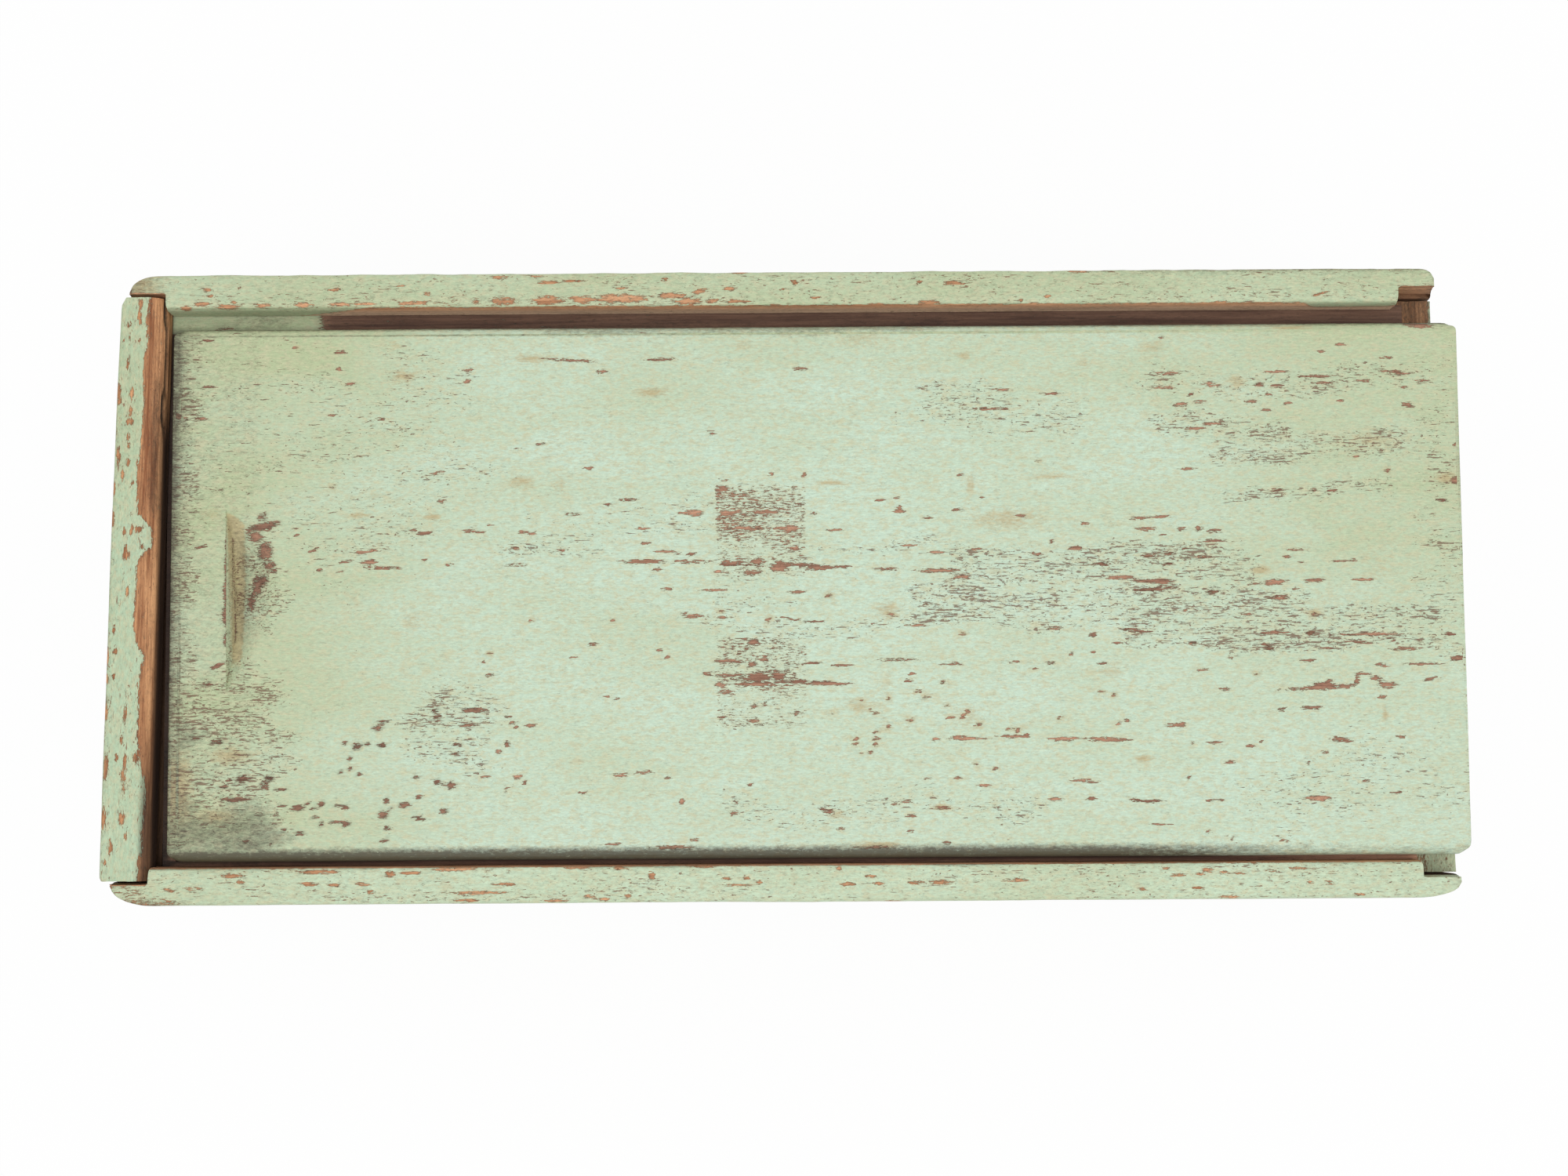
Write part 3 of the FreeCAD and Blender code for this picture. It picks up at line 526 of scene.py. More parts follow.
# Rust spots on the lid: middle and half width
RUST_SPOTS = (
    (-111.3, 24.0, 0.45), (-15.5, -7.3, 0.5), (-4.0, -9.6, 0.6), (-62.0, -9.5, 0.4), (-42.0, -9.5, 0.4),
    (11.0, -3.7, 0.5), (26.0, -8.2, 0.6), (43.6, -13.3, 0.5), (5.0, 26.2, 0.5), (63.0, 29.4, 0.35),
    (32.5, -27.3, 0.5), (34.6, -28.7, 0.5), (25.3, -29.0, 0.5), (18.8, -29.5, 0.4), (21.0, -31.7, 0.4),
    (22.3, -32.5, 0.5), (11.2, -32.4, 0.4), (44.4, -32.3, 0.55), (43.3, -33.5, 0.4), (40.4, -33.7, 0.4),
    (30.5, -34.2, 0.5), (25.3, -35.8, 0.5), (47.1, -35.5, 0.5), (22.2, -37.1, 0.4), (22.4, -38.6, 0.5),
    (17.2, -38.8, 0.5), (17.1, -40.0, 0.4), (22.1, -40.1, 0.5), (20.8, -42.0, 0.45), (18.9, -42.4, 0.4),
    (56.6, -36.8, 0.65), (67.0, -34.0, 0.45), (54.7, -36.5, 0.35), (39.4, -30.7, 0.4), (77.2, -27.7, 0.4),
    (80.2, -28.4, 0.45), (51.0, -46.0, 0.4), (46.0, -44.8, 0.35), (38.5, -25.0, 0.4), (129.5, -8.8, 0.5),
    (149.0, 26.5, 0.4), (-71.8, -17.3, 0.4), (-121.0, 59.0, 0.45), (141.5, 30.0, 0.4), (115.0, -23.5, 0.35),
)
# Soft tan stains on the lid: middle, half length, half width and strength
STAINS = (
    (-62.5, 56.0, 6.0, 1.5, 0.7), (-32.5, 47.3, 5.5, 1.3, 0.8), (-64.5, 25.0, 4.0, 2.2, 0.7),
    (-55.0, 24.0, 1.8, 3.5, 0.6), (-58.5, 31.0, 1.8, 1.2, 0.6), (-86.5, 16.3, 2.2, 0.8, 1.0),
    (-104.5, 16.8, 4.0, 0.7, 0.8), (-101.0, 22.0, 2.5, 1.2, 0.5), (-94.0, 51.5, 6.0, 2.5, 0.6),
    (-96.0, 59.5, 3.0, 1.5, 0.5), (12.0, 24.2, 4.5, 0.7, 0.9), (46.2, 23.5, 1.2, 2.8, 0.8),
    (66.0, 25.5, 7.0, 0.8, 0.7), (55.0, 15.0, 12.0, 3.5, 0.6), (25.5, -7.5, 4.0, 3.0, 0.7),
    (18.0, -31.0, 7.0, 3.0, 0.55), (44.0, -33.0, 6.0, 3.5, 0.5), (38.0, -55.3, 3.5, 0.9, 0.9),
    (12.5, -57.0, 3.0, 1.5, 0.7), (22.0, -64.3, 8.0, 0.9, 0.9), (-134.0, -42.0, 6.0, 2.5, 0.8),
    (-147.0, -50.0, 4.0, 10.0, 0.9), (-138.0, -56.5, 6.0, 2.0, 0.8), (-141.0, 17.0, 4.0, 2.5, 0.5),
    (112.5, 48.8, 2.8, 2.5, 0.7), (117.0, 2.0, 2.5, 1.2, 1.0), (92.0, 58.0, 5.0, 2.0, 0.6),
    (129.5, -8.5, 2.0, 1.2, 0.9), (145.0, 34.0, 12.0, 4.0, 0.5), (145.0, 3.0, 9.0, 9.0, 0.35),
    (146.0, -33.5, 1.0, 3.0, 0.8), (127.0, 62.5, 6.0, 1.0, 0.8), (163.5, 24.5, 3.0, 1.8, 0.9),
    (87.0, -44.0, 3.0, 1.0, 0.8), (20.0, 60.5, 8.0, 2.5, 0.5), (80.0, -23.0, 5.0, 3.0, 0.45),
    (-10.0, 59.0, 5.0, 2.0, 0.5), (45.0, 56.0, 3.0, 1.8, 0.6), (75.0, 54.0, 3.0, 1.5, 0.5),
    (-91.0, -9.0, 3.0, 3.5, 0.5),
)
# Where flaking, fine slits and dirt gather on the lid: left, right, front, rear, soft border, amount
FLAKED_AREAS = (
    (-17.2, 5.4, 1.0, 24.0, 0.35, 0.345), (-17.0, 6.0, -36.0, -13.5, 0.35, 0.32),
    (-9.0, 2.0, -28.0, -19.0, 1.5, 0.41), (-16.5, -6.0, 1.0, 6.0, 1.0, 0.38),
    (-151.0, -146.0, -66.0, 62.0, 2.5, 0.28), (-126.0, -98.0, -62.0, -44.0, 6.0, 0.14),
    (-92.0, -72.0, -60.0, -28.0, 5.0, 0.16), (-132.0, -124.0, 0.0, 16.0, 2.0, 0.30),
    (84.0, 152.0, 30.0, 52.0, 8.0, 0.10), (164.0, 168.0, -66.0, 62.0, 1.5, 0.22),
)
SLIT_AREAS = (
    (40.0, 118.0, -0.5, 8.5, 2.0, 1.0), (30.0, 128.0, -11.5, -1.5, 2.0, 1.0),
    (-72.0, -44.0, 6.5, 10.5, 1.5, 0.8), (-20.0, 30.0, -14.0, -9.0, 2.0, 0.7),
    (90.0, 126.0, 35.0, 41.0, 2.0, 0.9), (104.0, 156.0, 29.0, 36.0, 2.5, 0.8),
    (104.0, 150.0, 19.5, 23.5, 2.0, 0.75), (88.0, 156.0, 45.0, 53.0, 3.0, 0.7),
    (82.0, 162.0, -18.0, -7.0, 2.0, 0.9), (-16.0, 62.0, -60.0, -51.0, 3.0, 0.6),
    (-152.0, -144.0, -66.0, 62.0, 2.0, 0.95), (-152.0, -120.0, -62.0, -22.0, 5.0, 0.85),
    (-62.0, 0.0, 9.0, 21.0, 4.0, 0.55), (-17.2, 5.4, -37.0, 26.0, 0.5, 0.42),
    (30.0, 74.0, 36.0, 49.0, 4.0, 0.65), (-148.0, -76.0, 4.0, 62.0, 10.0, 0.5),
    (110.0, 166.0, -62.0, -40.0, 8.0, 0.5), (-92.0, -70.0, -48.0, -27.0, 4.0, 0.85),
    (-138.0, -122.0, -12.0, 6.0, 3.0, 1.0), (156.0, 168.0, -20.0, 55.0, 4.0, 0.6),
    (4.0, 45.0, 6.0, 10.0, 2.0, 0.6),
)
GRIME_AREAS = (
    (-153.0, -147.0, -68.0, 66.0, 2.5, 0.30), (-154.0, -124.0, -70.0, -57.0, 5.0, 0.62),
    (-154.0, -144.0, -70.0, -34.0, 4.0, 0.50), (-60.0, 40.0, 62.0, 66.0, 1.0, 0.4),
)
# Where the boards' outer faces are flaked: left, right, low, high, soft border and amount
FRONT_FACE_FLAKED = (
    (-167.0, 167.0, 8.0, 12.0, 3.0, 0.35), (-167.0, -154.0, 8.0, 46.0, 6.0, 0.33),
    (150.0, 167.0, 60.0, 104.0, 8.0, 0.30), (-118.0, -74.0, 58.0, 76.0, 7.0, 0.32),
    (14.0, 58.0, 22.0, 34.0, 5.0, 0.36), (70.0, 96.0, 84.0, 92.0, 4.0, 0.33),
    (-40.0, 20.0, 97.0, 104.0, 3.0, 0.32), (96.0, 130.0, 12.0, 24.0, 5.0, 0.33),
    (-70.0, -30.0, 40.0, 44.0, 3.0, 0.30),
)
REAR_FACE_FLAKED = (
    (-167.0, 167.0, 8.0, 12.0, 3.0, 0.34), (148.0, 167.0, 8.0, 52.0, 7.0, 0.33),
    (-167.0, -150.0, 66.0, 104.0, 7.0, 0.32), (-62.0, -8.0, 70.0, 84.0, 6.0, 0.33),
    (52.0, 104.0, 36.0, 50.0, 7.0, 0.34), (-120.0, -92.0, 18.0, 30.0, 5.0, 0.35),
    (20.0, 80.0, 98.0, 104.0, 3.0, 0.32), (-30.0, 10.0, 30.0, 36.0, 3.0, 0.30),
)
TALL_FACE_FLAKED = (
    (-72.0, 72.0, 8.0, 12.0, 3.0, 0.35), (-72.0, -52.0, 60.0, 104.0, 8.0, 0.32),
    (-20.0, 24.0, 44.0, 62.0, 8.0, 0.34), (48.0, 72.0, 14.0, 40.0, 7.0, 0.33),
    (10.0, 50.0, 88.0, 98.0, 5.0, 0.32),
)
LOW_FACE_FLAKED = (
    (-72.0, 72.0, 8.0, 12.0, 3.0, 0.35), (30.0, 72.0, 56.0, 86.0, 9.0, 0.32),
    (-58.0, -28.0, 26.0, 40.0, 6.0, 0.34), (-30.0, 20.0, 82.0, 94.0, 5.0, 0.35),
)
# and where all of them have fine slits
FACE_SLITS = (
    (-150.0, -40.0, 20.0, 50.0, 12.0, 0.8), (30.0, 150.0, 46.0, 86.0, 12.0, 0.8),
    (-90.0, 30.0, 74.0, 98.0, 10.0, 0.7), (-30.0, 60.0, 14.0, 30.0, 8.0, 0.6),
)


# ---- nails -------------------------------------------------------------------------------------
NAIL_LEVELS = (22.0, 52.6, 83.2)                 # heights of the corner nails
END_ROW = (-38.0, 0.0, 38.0)                     # bottom nails into an end board
SIDE_ROW = [-143.5 + 57.4 * step for step in range(6)]   # bottom nails into a side board


def nail_rows():
    """Each row of nails: the middles of its heads, the way they face and the way they are long."""
    corner = (SHOULDER + TIP) / 2
    along_box, across_box = Vector((1, 0, 0)), Vector((0, 1, 0))
    down = Vector((0, 0, -1))
    rows = {}
    for side, place in ((1, "rear"), (-1, "front")):
        for end, name in ((-1, "tall_end"), (1, "low_end")):
            heads = [(end * corner, side * (OUTER - NAIL_SINK), level) for level in NAIL_LEVELS]
            rows[f"nails_{name}_{place}"] = heads, side * across_box, along_box
        heads = [(x, side * (INNER + OUTER) / 2, NAIL_SINK) for x in SIDE_ROW]
        rows[f"nails_bottom_{place}"] = heads, down, along_box
    for end, name in ((-1, "tall_end"), (1, "low_end")):
        heads = [(end * corner, y, NAIL_SINK) for y in END_ROW]
        rows[f"nails_bottom_{name}"] = heads, down, across_box
    return rows


def narrow_foot(piece, factors):
    """Narrows the lowest end of an upright piece."""
    points = points_of(piece)
    lowest = points[:, Z] < points[:, Z].min() + SAME
    points[lowest, :2] *= factors
    move_points(piece, points)


def cut_nail():
    """A cut nail, head up at the origin: a flat head a little domed by the hammer, and a tapered shank."""
    def lowest(middle):
        return middle[:, Z] < middle[:, Z].min() + SAME

    def head_arris(start, end):
        return np.minimum(start[:, Z], end[:, Z]) > -0.1

    long, short = NAIL_HEAD
    nail = block("cut_nail", (-long / 2, -short / 2, -HEAD_THICKNESS), (long / 2, short / 2, 0))
    extrude_faces(nail, lowest, (0, 0, -0.2))
    narrow_foot(nail, np.divide(NAIL_NECK, NAIL_HEAD))
    extrude_faces(nail, lowest, (0, 0, -NAIL_SHANK))
    narrow_foot(nail, (0.7, 1))
    round_edges(nail, head_arris, 0.3, 3)
    add_loops(nail, X, 0.7)
    add_loops(nail, Y, 0.7)
    points = points_of(nail)
    crown = np.clip(np.hypot(points[:, X] / long, points[:, Y] / short) * 2, 0, 1) ** 2
    points[:, Z] -= np.where(points[:, Z] > -0.35, 0.2 * crown, 0)
    move_points(nail, points)
    return nail


def nails(material):
    """Every row of nails, each nail a turned copy of the one, none quite in line."""
    first = cut_nail()
    chance = np.random.default_rng(7)
    for node, (heads, facing, long_way) in nail_rows().items():
        bpy.ops.object.select_all(action="DESELECT")
        for head in heads:
            copy = first.copy()
            copy.data = first.data.copy()
            bpy.context.scene.collection.objects.link(copy)
            turn = Matrix((long_way, facing.cross(long_way), facing)).transposed().to_4x4()
            askew = Matrix.Rotation(math.radians(chance.uniform(-6, 6)), 4, "Z")
            copy.matrix_world = Matrix.Translation(Vector(head) * MM) @ turn @ askew
            copy.select_set(True)
            bpy.context.view_layer.objects.active = copy
        bpy.ops.object.transform_apply(location=True, rotation=True, scale=True)
        bpy.ops.object.join()
        row = bpy.context.object
        row.name = "worn_" + node
        row.data.name = row.name
        row.data.materials.append(material)
        weather(row, depth=0.1, size=1.2, stretch=(1, 1, 1))
        finish_piece(row, node, "box")
    bpy.data.objects.remove(first)


def sink_nails(piece, nodes):
    """Cuts the hollows that the nails of some rows were driven into, a little larger than their heads."""
    room, under, over = 0.5, 1.15, 2.0
    long, short = NAIL_HEAD
    rows = nail_rows()
    hollows = []
    for node in nodes:
        heads, facing, long_way = rows[node]
        short_way = facing.cross(long_way)
        size = 0.5 * (long + room) * long_way + 0.5 * (short + room) * short_way
        for head in heads:
            inside = Vector(head) - size - under * facing
            outside = Vector(head) + size + over * facing
            low = [min(a, b) for a, b in zip(inside, outside)]
            high = [max(a, b) for a, b in zip(inside, outside)]
            hollows.append(block("hollow", low, high))
    bpy.ops.object.select_all(action="DESELECT")
    for hollow in hollows:
        hollow.select_set(True)
    bpy.ops.object.join()
    carve(piece, bpy.context.object)


def nail_rust(points, nodes):
    """How rusty the wood is near the nails of some rows: 1 at a head's rim, 0 from 5 mm out."""
    rust = np.zeros(len(points))
    rows = nail_rows()
    for node in nodes:
        for head in rows[node][0]:
            away = np.linalg.norm(points - np.array(head), axis=1)
            rust = np.maximum(rust, 1 - ease(away, 2.2, 5.0))
    return rust


# ---- boards ------------------------------------------------------------------------------------
ALONG_STEP = 1.0                 # spacing of the loops along a board,
ACROSS_STEP = 0.5                # across a side board's top,
UPPER_STEP = 0.9                 # up its faces above the groove's floor,
LOWER_STEP = 3.0                 # and below it
SIDE_ARRIS = 0.9                 # rounding of the side boards' top arrises,
END_ARRIS = 1.0                  # of the end boards',
WORN_ARRIS = 4.4                 # and of the tall end board's inner one, where hands have worn it
RIM = 1.3                        # how far wear reaches in from a side board's arris
PAST = 5                         # how far a cutter stands out of the wood
TIP_WEAR = 3.0                   # how far the lips' top tips are worn back,
TIP_WEAR_HEIGHT = 14.0           # from this far below the top


def board_rims(height):
    """How near each point of a board is to the box's top, and to the board's foot: 0 to 1."""
    return ease(height, TOP - 3.0, TOP - 1.2), 1 - ease(height, FOOT, FOOT + 4)


def outer_face_wear(depth, along, height, flaked_areas):
    """Flaking and fine slits on a board's outer face: depth is how far inside it each point lies."""
    face = 1 - ease(depth, 0.8, 1.6)
    return face * areas(along, height, flaked_areas), face * areas(along, height, FACE_SLITS)


def side_board(place, side, lip_corners, flakes):
    """A side board: rabbets, the lid's groove, rounded arrises and lips worn round at their tips.

    lip_corners gives, for the tall end and the low end, how far the outer corner is worn along the
    board and into its thickness.
    """
    def at(x, y, z):
        return Vector((x, side * y, z))

    name = "side_board_" + place
    piece = block("worn_" + name, at(-TIP, INNER, FOOT), at(TIP, OUTER, TOP))
    for end in (-1, 1):
        carve(piece, block("rabbet", at(end * SHOULDER, INNER - PAST, FOOT - PAST),
                           at(end * (TIP + PAST), CHEEK, TOP + PAST)))
    for face in (OUTER, INNER):
        round_edges(piece, level_edges(Y, side * face, TOP), SIDE_ARRIS)
    carve(piece, block("groove", at(-TIP - PAST, INNER - PAST, GROOVE_FLOOR),
                       at(TIP + PAST, INNER + GROOVE_DEPTH, GROOVE_TOP)))
    slice_at(piece, X, (-SHOULDER, SHOULDER))
    slice_at(piece, Y, (side * CHEEK, side * (INNER + GROOVE_DEPTH)))
    slice_at(piece, Z, (GROOVE_FLOOR, GROOVE_TOP))
    add_loops(piece, X, ALONG_STEP)
    add_loops(piece, Y, ACROSS_STEP)
    add_loops(piece, Z, UPPER_STEP, GROOVE_FLOOR, TOP)
    add_loops(piece, Z, LOWER_STEP, FOOT, GROOVE_FLOOR)
    wear_lips(piece, side, lip_corners)
    weather(piece, depth=0.3, size=9.0, stretch=(7, 1, 1))
    weather(piece, depth=0.2, size=1.3, stretch=(14, 1, 1))
    wear_arrises(piece, side)
    nail_nodes = [f"nails_{end}_{place}" for end in ("tall_end", "low_end")]
    sink_nails(piece, nail_nodes)
    side_board_wear(piece, side, flakes, nail_nodes)
    finish_piece(piece, name, "box")
    return piece


def wear_lips(piece, side, lip_corners):
    """Wears the lips round at their outer corners and back at their top tips."""
    points = points_of(piece)
    x, y, height = points.T.copy()
    depth = OUTER - side * y
    for end, (run, inset) in zip((-1, 1), lip_corners):
        # The corner is a quarter ellipse, stopped just short of its steepest end
        share = np.clip((end * x - (TIP - run)) / run, 0, 1)
        narrowing = inset * (1 - np.sqrt(1 - 0.999 * share ** 2))
        points[:, Y] -= side * narrowing * np.clip(1 - depth / (OUTER - CHEEK), 0, 1)
        past = np.clip((end * x - SHOULDER) / (TIP - SHOULDER), 0, 1)
        points[:, X] -= end * TIP_WEAR * ease(height, TOP - TIP_WEAR_HEIGHT, TOP) * past
    move_points(piece, points)


def wear_arrises(piece, side):
    """Wears both long top arrises down, and keeps the lips' inner faces flat below them."""
    _, y, height = points_of(piece).T
    depth = OUTER - side * y
    arris = np.exp(-((TOP - height) / 1.5) ** 2)
    arris *= np.exp(-(depth / RIM) ** 2) + np.exp(-((depth - OUTER + INNER) / RIM) ** 2)
    weather(piece, depth=0.8, size=3.0, stretch=(3, 1, 1), weights=np.clip(arris, 0, 1))
    points = points_of(piece)
    lip_face = (np.abs(points[:, X]) > SHOULDER + 0.4) & (depth > OUTER - CHEEK - 0.7) & (height < TOP - 2)
    points[lip_face, Y] = side * CHEEK
    move_points(piece, points)


def side_board_wear(piece, side, flakes, nail_nodes):
    """Where a side board is bare, cracked, stained, dirty or yellowed, and where shade and light are painted
    on.
    """
    points = points_of(piece)
    x, y, height = points.T
    depth = OUTER - side * y
    board, lip = OUTER - INNER, OUTER - CHEEK
    near_top, foot = board_rims(height)
    outer_arris = np.exp(-(depth / RIM) ** 2) * near_top
    low_face = ease(depth, -1, 0.6) * (1 - near_top)
    past_shoulder = ease(np.abs(x), SHOULDER - 0.3, SHOULDER + 0.3)
    tips = ease(np.abs(x), TIP - 6, TIP - 1) * ease(height, TOP - 60, TOP)
    rust = nail_rust(points, nail_nodes)
    flaked = marks(x, y, flakes)
    cheek = past_shoulder * ease(depth, lip - 0.6, lip - 0.2)

    # What differs between the two: how far the paint runs down inside, where the outer arris has
    # greyed, how the lips are rubbed, and how yellow the paint is
    if side > 0:
        paint_stop = 7.5 * ease(-x, 97, 125) + 4.5 * between(x, 131, 154, 3) - 0.3
        greyed = ease(x, 60, 110)
        rear_lip = ease(-x, SHOULDER - 4, SHOULDER + 6) * near_top
        rubbed = 0.20 * rear_lip
        open_lip = past_shoulder * (x > 0)
        flaked = np.maximum(flaked, areas(x, y, REAR_FLAKED_AREAS))
        face_areas = REAR_FACE_FLAKED
        yellow = 0.75
    else:
        paint_stop = np.full(len(x), -2.0)
        greyed = ease(-x, 130, 160)
        rear_lip = 0.0
        rubbed = np.maximum(0.40 * ease(-x, SHOULDER - 1, SHOULDER + 1),
                            0.52 * (1 - ease(depth, 1.0, 3.5)) * ease(-x, 138, 150)) * near_top
        open_lip = 0.0
        cheek *= 1 - 0.7 * ease(x, 0, 10)
        face_areas = FRONT_FACE_FLAKED
        yellow = 0.15 + 0.3 * ease(-x, 90, 150)

    paint_stop = np.where(past_shoulder > 0.5, -0.5, paint_stop)
    inside = ease(depth, board - 0.8, board - 0.35)
    inside *= ease(TOP - height, paint_stop - 0.5, paint_stop + 0.5)
    inner = (height < GROOVE_TOP + 0.1) & (depth > lip - 1.2)
    in_groove = inner & (height > GROOVE_FLOOR - 0.5)
    face_flaked, face_slits = outer_face_wear(depth, x, height, face_areas)
    bare = np.maximum.reduce((
        flaked * near_top, -0.06 + 0.30 * outer_arris * (0.6 + greyed), 0.36 * tips + 0.30 * foot,
        rubbed, 0.30 * rust, face_flaked, inside, cheek, 1.0 * inner))
    stain = 0.8 * rust + 0.5 * outer_arris * greyed + 0.25 * foot + 0.7 * rear_lip
    grime = 0.22 + 0.5 * outer_arris * greyed + 0.4 * tips + 0.4 * rust + 0.3 * foot + 0.25 * rear_lip
    # Painted shade: dark is deepest in the groove, slight on the lips' cheeks and inside below the groove,
    # and less in the rear groove past the low end's shoulder
    paint_on(piece, bare=np.clip(bare, -0.2, 1), stain=np.clip(stain, 0, 1), grime=np.clip(grime, 0, 1),
             slits=0.3 + 0.4 * near_top + 0.2 * low_face + 0.5 * face_slits,
             yellowed=yellow + 0.25 * low_face,
             dark=0.2 * cheek + 0.2 * inner + 0.6 * in_groove * (1 - 0.7 * open_lip))
    # Painted light: the rear board's inner face above the groove is lightened towards #f7dcbc, most low down
    # near the groove
    if side > 0:
        above_groove = ease(height, GROOVE_TOP - 0.2, GROOVE_TOP + 0.2)
        below_top = 1 - ease(height, GROOVE_TOP + 1.0, TOP - 0.8)
        paint_on(piece, pale=0.65 * inside * above_groove * below_top)


# Where the paint stops on the tall end board's top, and how far its outer face has worn in:
# place across the box, place along it
PAINT_STOPS = (
    (-72, -156.2), (-66, -156.1), (-65, -155.1), (-60, -155.5), (-55, -155.0), (-48, -155.0), (-45, -155.8),
    (-38, -156.9), (-25, -157.1), (-20, -156.7), (-18, -155.9), (-16.5, -156.8), (-14, -158.2),
    (-10, -158.7), (0, -158.5), (5, -158.5), (7.5, -157.0), (9, -155.4), (14, -155.4), (16, -157.0),
    (17.5, -158.7), (22, -159.0), (28, -159.2), (35, -158.4), (46, -158.0), (55, -158.5), (60, -157.7),
    (66, -158.2), (72, -157.5),
)
OUTER_RIM = (
    (-72, 0.6), (-71, 0.1), (0, 0.1), (20, 0.2), (40, 0.3), (50, 0.4), (60, 0.6), (70, 0.8), (72, 1.9),
)
SPLIT = 38.0                     # from here to the rear the tall end board's inner arris has cracked


def crack(points, core, rim):
    """How deep each point is in the crack of the tall end board's rounded arris: 0 to 1.

    The crack is open up to core from its line, and closed from rim.
    """
    x, y, height = points.T
    away = np.abs(height - (TOP - 3.4 - 0.4 * np.sin(y / 4.0)))
    in_arris = ease(x, TALL_END[1].x - 3.0, TALL_END[1].x - 1.5)
    return (1 - ease(away, core, rim)) * ease(y, SPLIT - 3, SPLIT + 3) * in_arris


def tall_end_board():
    """The board at the closed end: its inner top arris worn round, bare and split at the rear."""
    low, high = TALL_END
    piece = block("worn_tall_end_board", low, high)
    round_edges(piece, level_edges(X, high.x, TOP), WORN_ARRIS, 8)
    round_edges(piece, level_edges(X, low.x, TOP), END_ARRIS)
    carve(piece, block("groove", (high.x - END_GROOVE_DEPTH, low.y - PAST, GROOVE_FLOOR),
                       (high.x + PAST, high.y + PAST, GROOVE_TOP)))
    slice_at(piece, X, (high.x - END_GROOVE_DEPTH,))
    slice_at(piece, Z, (GROOVE_FLOOR, GROOVE_TOP))
    add_loops(piece, Y, ALONG_STEP)
    add_loops(piece, X, 0.4)
    add_loops(piece, Z, UPPER_STEP, GROOVE_FLOOR, TOP)
    add_loops(piece, Z, LOWER_STEP, low.z, GROOVE_FLOOR)
    points = points_of(piece)
    x, y, height = points.T.copy()
    points[:, X] -= crack(points, 0.1, 0.6)
    worn_in = np.interp(y, *zip(*OUTER_RIM)) * (1 - ease(x, low.x, low.x + 3))
    points[:, X] += worn_in * ease(height, TOP - 25, TOP)
    move_points(piece, points)
    weather(piece, depth=0.3, size=9.0, stretch=(1, 7, 1))
    weather(piece, depth=0.2, size=1.3, stretch=(1, 14, 1))
    tall_end_wear(piece)
    finish_piece(piece, "tall_end_board", "box")
    return piece


def tall_end_wear(piece):
    """Where the tall end board is bare, stained or dirty, and where shade is painted on."""
    low, high = TALL_END
    points = points_of(piece)
    x, y, height = points.T
    near_top, foot = board_rims(height)
    rim = np.exp(-((x - low.x) / 1.1) ** 2) * near_top
    paint_stop = np.interp(y, *zip(*PAINT_STOPS))
    past = ease(x, paint_stop - 0.7, paint_stop + 0.7)
    facing_in = (x > high.x - 1.0) | ((height < GROOVE_TOP + 0.1) & (x > high.x - END_GROOVE_DEPTH - 0.1))
    face_flaked, face_slits = outer_face_wear(x - low.x, y, height, TALL_FACE_FLAKED)
    bare = np.maximum.reduce((
        marks(y, x, END_FLAKES) * near_top, past * near_top, past * (height > GROOVE_TOP),
        1.0 * facing_in, 0.02 + 0.28 * rim + 0.3 * foot, face_flaked))

    # Painted shade: on the inner face from the groove up, but little at its rear end, in the groove, and at
    # the front
    inner_face = ease(x, high.x - 1.0, high.x - 0.2) * ease(height, GROOVE_FLOOR - 1, GROOVE_FLOOR)
    inner_face *= 1 - 0.85 * ease(y, 36, 50) * ease(height, GROOVE_TOP, GROOVE_TOP + 0.6)
    in_groove = between(height, GROOVE_FLOOR - 0.5, GROOVE_TOP + 0.3, 0.2) * facing_in
    inner_arris = ease(x, high.x - 3.0, high.x - 1.6)
    painted_crevice_shade = np.maximum.reduce((
        inner_face, 0.9 * in_groove, 0.45 * past * ease(-y, 58, 72), 0.8 * inner_arris * ease(-y, 30, 60)))
    opened = crack(points, 0.2, 0.7)
    greyed = between(x, -156.0, -153.0, 0.8) * between(y, 18, 52, 3) * near_top
    paint_on(piece, bare=np.clip(bare, -0.2, 1), stain=0.25 * near_top,
             slits=0.35 + 0.3 * near_top + 0.5 * face_slits,
             grime=np.clip(0.2 + opened + 0.35 * greyed + 0.3 * foot + 0.25 * rim, 0, 1),
             yellowed=0.4 + 0.35 * ease(y, 10, 60),
             dark=np.clip(opened + 0.3 * greyed + painted_crevice_shade, 0, 1))


def low_end_board():
    """The board that the lid passes over, its front end sawn square."""
    low, high = LOW_END
    piece = block("worn_low_end_board", low, high)
    for x in (high.x, low.x):
        round_edges(piece, level_edges(X, x, high.z), END_ARRIS)
    add_loops(piece, Y, ALONG_STEP)
    add_loops(piece, X, 0.6)
    add_loops(piece, Z, 2.0)
    weather(piece, depth=0.3, size=9.0, stretch=(1, 7, 1))
    weather(piece, depth=0.25, size=1.3, stretch=(1, 14, 1))
    points = points_of(piece)
    sawn_end = points[:, Y] < low.y + 0.6
    points[sawn_end, Y] = low.y
    move_points(piece, points)
    low_end_wear(piece)
    finish_piece(piece, "low_end_board", "box")
    return piece


